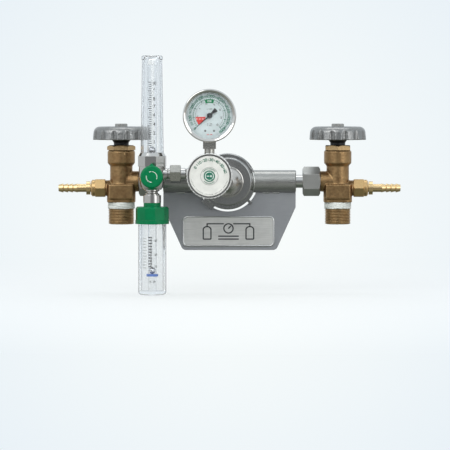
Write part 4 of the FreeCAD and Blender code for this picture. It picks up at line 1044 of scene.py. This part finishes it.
SIGN_LINE = 1.5 * MM
BOTTLE_X = 25 * MM
BOTTLE_HALF = 4.5 * MM
BOTTLE_FOOT = -9.0 * MM
BOTTLE_SHOULDER = 2.0 * MM
BOTTLE_DOME = 3.6 * MM
GAUGE_RADIUS = 5.4 * MM
GAUGE_Z = 3.5 * MM
EDGE_RADIUS = 6.0 * MM
EDGE_HALF = 0.9 * MM
EDGE_HEIGHT = 0.55 * MM
EDGE_SECTION = 8
EDGE_CORNER = 8


def mark_name_plate():
    """A plain pictogram in place of words: two cylinders joined by a line with a gauge."""
    plate = Span("name_plate")
    sign = Print(plate.middle, plate.low.y)
    for side in SIDES.values():
        middle = side * BOTTLE_X
        sign.box(middle, BOTTLE_FOOT, 2 * BOTTLE_HALF, SIGN_LINE)
        sign.box(middle - BOTTLE_HALF, -3.5 * MM, SIGN_LINE, 11 * MM)
        sign.box(middle + BOTTLE_HALF, -3.5 * MM, SIGN_LINE, 11 * MM)
        for share in range(8):
            angle = math.radians(22.5 * (share + 0.5))
            right = middle + BOTTLE_HALF * math.cos(angle)
            up = BOTTLE_SHOULDER + BOTTLE_DOME * math.sin(angle)
            sign.box(right, up, 2.0 * MM, SIGN_LINE, angle + math.pi / 2)
        sign.box(middle, 7.6 * MM, SIGN_LINE, 3.6 * MM)
        sign.box(side * 15.4 * MM, 8.9 * MM, 20.0 * MM, SIGN_LINE)
    for share in range(24):
        angle = math.radians(15 * share)
        right, up = polar(GAUGE_RADIUS, angle)
        sign.box(right, GAUGE_Z + up, 1.6 * MM, SIGN_LINE, angle + math.pi / 2)
    sign.box(1.4 * MM, 4.9 * MM, 4.6 * MM, SIGN_LINE, math.radians(45))
    for row in (-5.6 * MM, BOTTLE_FOOT):
        sign.box(0, row, 24 * MM, SIGN_LINE)
    sign.settle("plate_pictogram", "black ink", "name_plate")


def edge_name_plate():
    """The plate's raised edge, in a metal paler than the plate's that partly paints a highlight
    along it.
    """
    plate = Span("name_plate")
    left, right = plate.low.x + EDGE_RADIUS, plate.high.x - EDGE_RADIUS
    bottom, top = plate.low.z + EDGE_RADIUS, plate.high.z - EDGE_RADIUS
    # Each corner's centre, and the angle at which its arc begins
    arcs = [(right, top, 0), (left, top, 90), (left, bottom, 180), (right, bottom, 270)]
    points = []
    for x, z, start in arcs:
        for step in range(EDGE_CORNER + 1):
            angle = math.radians(start + 90 * step / EDGE_CORNER)
            out = Vector((math.cos(angle), 0, math.sin(angle)))
            place = Vector((x, plate.low.y, z)) + out * (EDGE_RADIUS - EDGE_HALF)
            for turn in around(EDGE_SECTION):
                points.append(place + out * EDGE_HALF * math.cos(turn)
                              + Vector((0, EDGE_HEIGHT * math.sin(turn), 0)))
    faces = grid_faces(len(points) // EDGE_SECTION, EDGE_SECTION)
    settle("plate_edge", mesh_of(points, faces), "bright edge")


# Welds: rows of overlapping ripples

WELD_SECTION = 10
WELD_RIPPLE = 0.12
WELD_PERIOD = 3
DRUM_WELD = 1.3 * MM
DRUM_WELD_STEPS = 180
PLATE_WELD = 1.0 * MM
PLATE_WELD_STEPS = 30
# Start and end of each bead along the plate in millimetres, how far it sits in front and below,
# and its depth as a share of its height
PLATE_BEADS = ((39, 47), (50, 58), (-62, -52))
BEAD_FRONT = 0.2 * MM
BEAD_DROP = 0.1 * MM
BEAD_DEPTH = 0.9


def weld(name, spine, width):
    """A rippled bead along a line of (place, outward direction, sideways direction)."""
    points = []
    for index, (place, out, side) in enumerate(spine):
        ripple = 1 + WELD_RIPPLE * math.cos(2 * math.pi * index / WELD_PERIOD)
        for angle in around(WELD_SECTION):
            points.append(place + (out * math.cos(angle) + side * math.sin(angle)) * width * ripple)
    faces = grid_faces(len(spine), WELD_SECTION, rows_close=False)
    last = (len(spine) - 1) * WELD_SECTION
    faces.append(tuple(range(WELD_SECTION)))
    faces.append(tuple(last + step for step in range(WELD_SECTION)))
    settle(name, mesh_of(points, faces), "weld bead")


def weld_crossbar():
    """Fillets where the tubes enter the drum, and short beads along the plate's top edge, in a
    metal paler than the tubes' that partly paints a highlight.
    """
    drum = Span("drum_body")
    for side, sign in SIDES.items():
        tube = Span(f"crossbar_tube_{side}")
        radius = (tube.high.z - tube.low.z) / 2
        spine = []
        for step in range(DRUM_WELD_STEPS + 1):
            angle = 2 * math.pi * step / DRUM_WELD_STEPS
            out = Vector((0, math.cos(angle), math.sin(angle)))
            # The drum is round, so the join runs further in above and below the axis
            reach = math.sqrt(max(drum.radius**2 - (radius * out.z)**2, 0))
            place = Vector((drum.middle.x + sign * reach, 0, 0)) + out * radius
            spine.append((place, out, Vector((1, 0, 0))))
        weld(f"drum_weld_{side}", spine, DRUM_WELD)
    front = Span("support_plate").low.y - BEAD_FRONT
    under = Span("crossbar_tube_right").low.z - BEAD_DROP
    for index, (start, end) in enumerate(PLATE_BEADS):
        spine = []
        for step in range(PLATE_WELD_STEPS + 1):
            x = (start + (end - start) * step / PLATE_WELD_STEPS) * MM
            place = Vector((x, front, under))
            spine.append((place, Vector((0, -BEAD_DEPTH, 0)), Vector((0, 0, 1))))
        weld(f"plate_weld_{index + 1}", spine, PLATE_WELD)


turn_bezel()
turn_bonnet_ring()
turn_bell_highlight_bead()
turn_cover()
print_dial()
mark_knob()
mark_flow_knob()
mark_upper_tube()
mark_lower_tube()
mark_name_plate()
edge_name_plate()
weld_crossbar()


# Light, backdrop, floor and camera

# Name, place, width, height and power of each lamp, and whether metal mirrors it: a large key
# from the upper left, a fill from the right, a light from above and one from the front
LAMPS = [
    ("key", (-1.3, -1.9, 1.5), 2.4, 1.8, 26, True),
    ("fill", (1.6, -1.6, 0.6), 1.2, 1.6, 8, True),
    ("top", (0.1, 0.3, 1.7), 1.4, 0.6, 5, True),
    ("front", (0.3, -2.8, 0.6), 1.0, 1.0, 17, False),
]
# World brightness by the height of the direction it is seen in: dark below, where the cylinders
# would stand, and pale from the horizon up
SKY = [
    (-1.0, (0.09, 0.11, 0.09)),
    (-0.8, (0.24, 0.27, 0.24)),
    (-0.35, (0.42, 0.44, 0.42)),
    (0.0, (0.6, 0.61, 0.62)),
    (0.5, (0.8, 0.82, 0.84)),
    (1.0, (0.78, 0.8, 0.83)),
]
# How far from straight ahead the backdrop turns darker and bluer, a painted falloff of light, as
# height over distance
PAPER_REACH = (0.02, 0.1)
# The darker patch of the room in front, which metal mirrors, and the horizon's soft edge
PATCH_REACH = (-0.88, -0.97)
PATCH_DEPTH = 0.6
HORIZON = 0.05
FLOOR_SIZE = 30
FLOOR_DROP = 0.5 * MM
FLOOR_GRAIN = 3 * MM
FLOOR_RELIEF = 0.02 * MM
# Distance from the middle over which the floor fades, and how far it has faded at either end
FLOOR_REACH = (0.3, 0.9)
FLOOR_FADE = (0.6, 1.0)


def point_at(thing, target):
    direction = Vector(target) - thing.location
    thing.rotation_euler = direction.to_track_quat("-Z", "Y").to_euler()


def softbox(name, place, width, height, power, mirrored):
    lamp = bpy.data.lights.new(name, "AREA")
    lamp.shape = "RECTANGLE"
    lamp.size = width
    lamp.size_y = height
    lamp.energy = power
    thing = add_object(name, lamp)
    thing.location = place
    thing.visible_glossy = mirrored
    point_at(thing, (0, 0, 0))


def paper(shader, line):
    """The backdrop's colour along a line from the front: palest straight ahead, darker and bluer
    around it, a painted falloff of light.
    """
    apart = shader.add("SeparateXYZ", Vector=line).outputs
    ahead = shader.math("MAXIMUM", apart["Y"], 0.01)
    side = shader.math("DIVIDE", apart["X"], ahead)
    side = shader.math("MULTIPLY", side, side)
    lift = shader.math("DIVIDE", apart["Z"], ahead)
    lift = shader.math("ADD", lift, math.tan(CAMERA_RISE))
    lift = shader.math("MULTIPLY", lift, lift)
    away = shader.math("SQRT", shader.math("ADD", side, lift), 0.0)
    return shader.mix(shader.ramp(away, *PAPER_REACH), PAPER, PAPER_FALLOFF)


def seen_through(shader, path):
    """1 for what the camera sees, straight or through clear plastic."""
    return shader.math("MAXIMUM", path["Is Camera Ray"], path["Is Transmission Ray"])


def make_world():
    """The pale backdrop that the camera sees, and the graded room that lights and is mirrored."""
    world = bpy.data.worlds.new("studio")
    world.use_nodes = True
    bpy.context.scene.world = world
    shader = NodeTree(world.node_tree)
    line = shader.add("TexCoord").outputs["Generated"]
    apart = shader.add("SeparateXYZ", Vector=line).outputs
    ramp = shader.add("ValToRGB", Fac=shader.ramp(apart["Z"], -1, 1))
    while len(ramp.color_ramp.elements) < len(SKY):
        ramp.color_ramp.elements.new(0.5)
    for element, (rise, colour) in zip(ramp.color_ramp.elements, SKY):
        element.position = (rise + 1) / 2
        element.color = (*colour, 1)
    path = shader.add("LightPath").outputs
    ahead = shader.ramp(apart["Y"], *PATCH_REACH, 0.0, PATCH_DEPTH)
    patch = shader.math("MULTIPLY", ahead, path["Is Glossy Ray"])
    patch = shader.math("SUBTRACT", 1.0, patch)
    room = shader.mix(1.0, ramp.outputs["Color"], patch, "MULTIPLY")
    backdrop = shader.mix(1.0, paper(shader, line), patch, "MULTIPLY")
    above = shader.ramp(apart["Z"], -HORIZON, HORIZON)
    mirrored = shader.math("MULTIPLY", path["Is Glossy Ray"], above)
    seen = shader.math("MAXIMUM", seen_through(shader, path), mirrored)
    shader.blend(
        seen,
        shader.add("Background", Color=room).outputs[0],
        shader.add("Background", Color=backdrop).outputs[0],
        "World Output",
    )


def lay_floor():
    """A pale floor under the object that fades into the backdrop's colour.

    Metal reflects the dark lower half of the world in its place."""
    bpy.ops.mesh.primitive_plane_add(size=FLOOR_SIZE, location=(0, 0, cad_box[0][2] - FLOOR_DROP))
    floor = bpy.context.active_object
    floor.name = "floor"
    floor.visible_glossy = False
    floor.visible_diffuse = False
    shader = Shader("pale floor", Roughness=0.9, Base_Color=FLOOR)
    shader.bump(shader.noise(FLOOR_GRAIN), FLOOR_RELIEF)
    line = shader.add("VectorMath", {"operation": "SUBTRACT"}, Vector=shader.where)
    line.inputs[1].default_value = camera_place() - floor.location
    glow = shader.add("Emission", Color=paper(shader, line.outputs[0]), Strength=1.0)
    away = shader.add("VectorMath", {"operation": "LENGTH"}, Vector=shader.where)
    fade = shader.ramp(away.outputs["Value"], *FLOOR_REACH, *FLOOR_FADE)
    path = shader.add("LightPath").outputs
    fade = shader.math("MULTIPLY", fade, seen_through(shader, path))
    shader.blend(fade, shader.surface.outputs[0], glow.outputs[0], "Material Output")
    floor.data.materials.append(shader.material)


def camera_aim():
    """The point at the crossbar's depth that stands in the middle of the photograph."""
    middle = IMAGE_PIXELS / 2
    across, up = ORIGIN_PIXEL
    return Vector(((middle - across) * PIXEL, 0, (up - middle) * PIXEL))


def camera_place():
    away = Vector((0, -math.cos(CAMERA_RISE), math.sin(CAMERA_RISE)))
    return camera_aim() + away * CAMERA_DISTANCE


def set_camera():
    lens = bpy.data.cameras.new("camera")
    lens.sensor_width = SENSOR
    lens.lens = SENSOR * CAMERA_DISTANCE / (IMAGE_PIXELS * PIXEL)
    lens.clip_end = VIEW_REACH
    camera = add_object("camera", lens)
    camera.location = camera_place()
    point_at(camera, camera_aim())
    bpy.context.scene.camera = camera


for lamp in LAMPS:
    softbox(*lamp)
make_world()
lay_floor()
set_camera()
bpy.context.scene.view_settings.view_transform = "Standard"
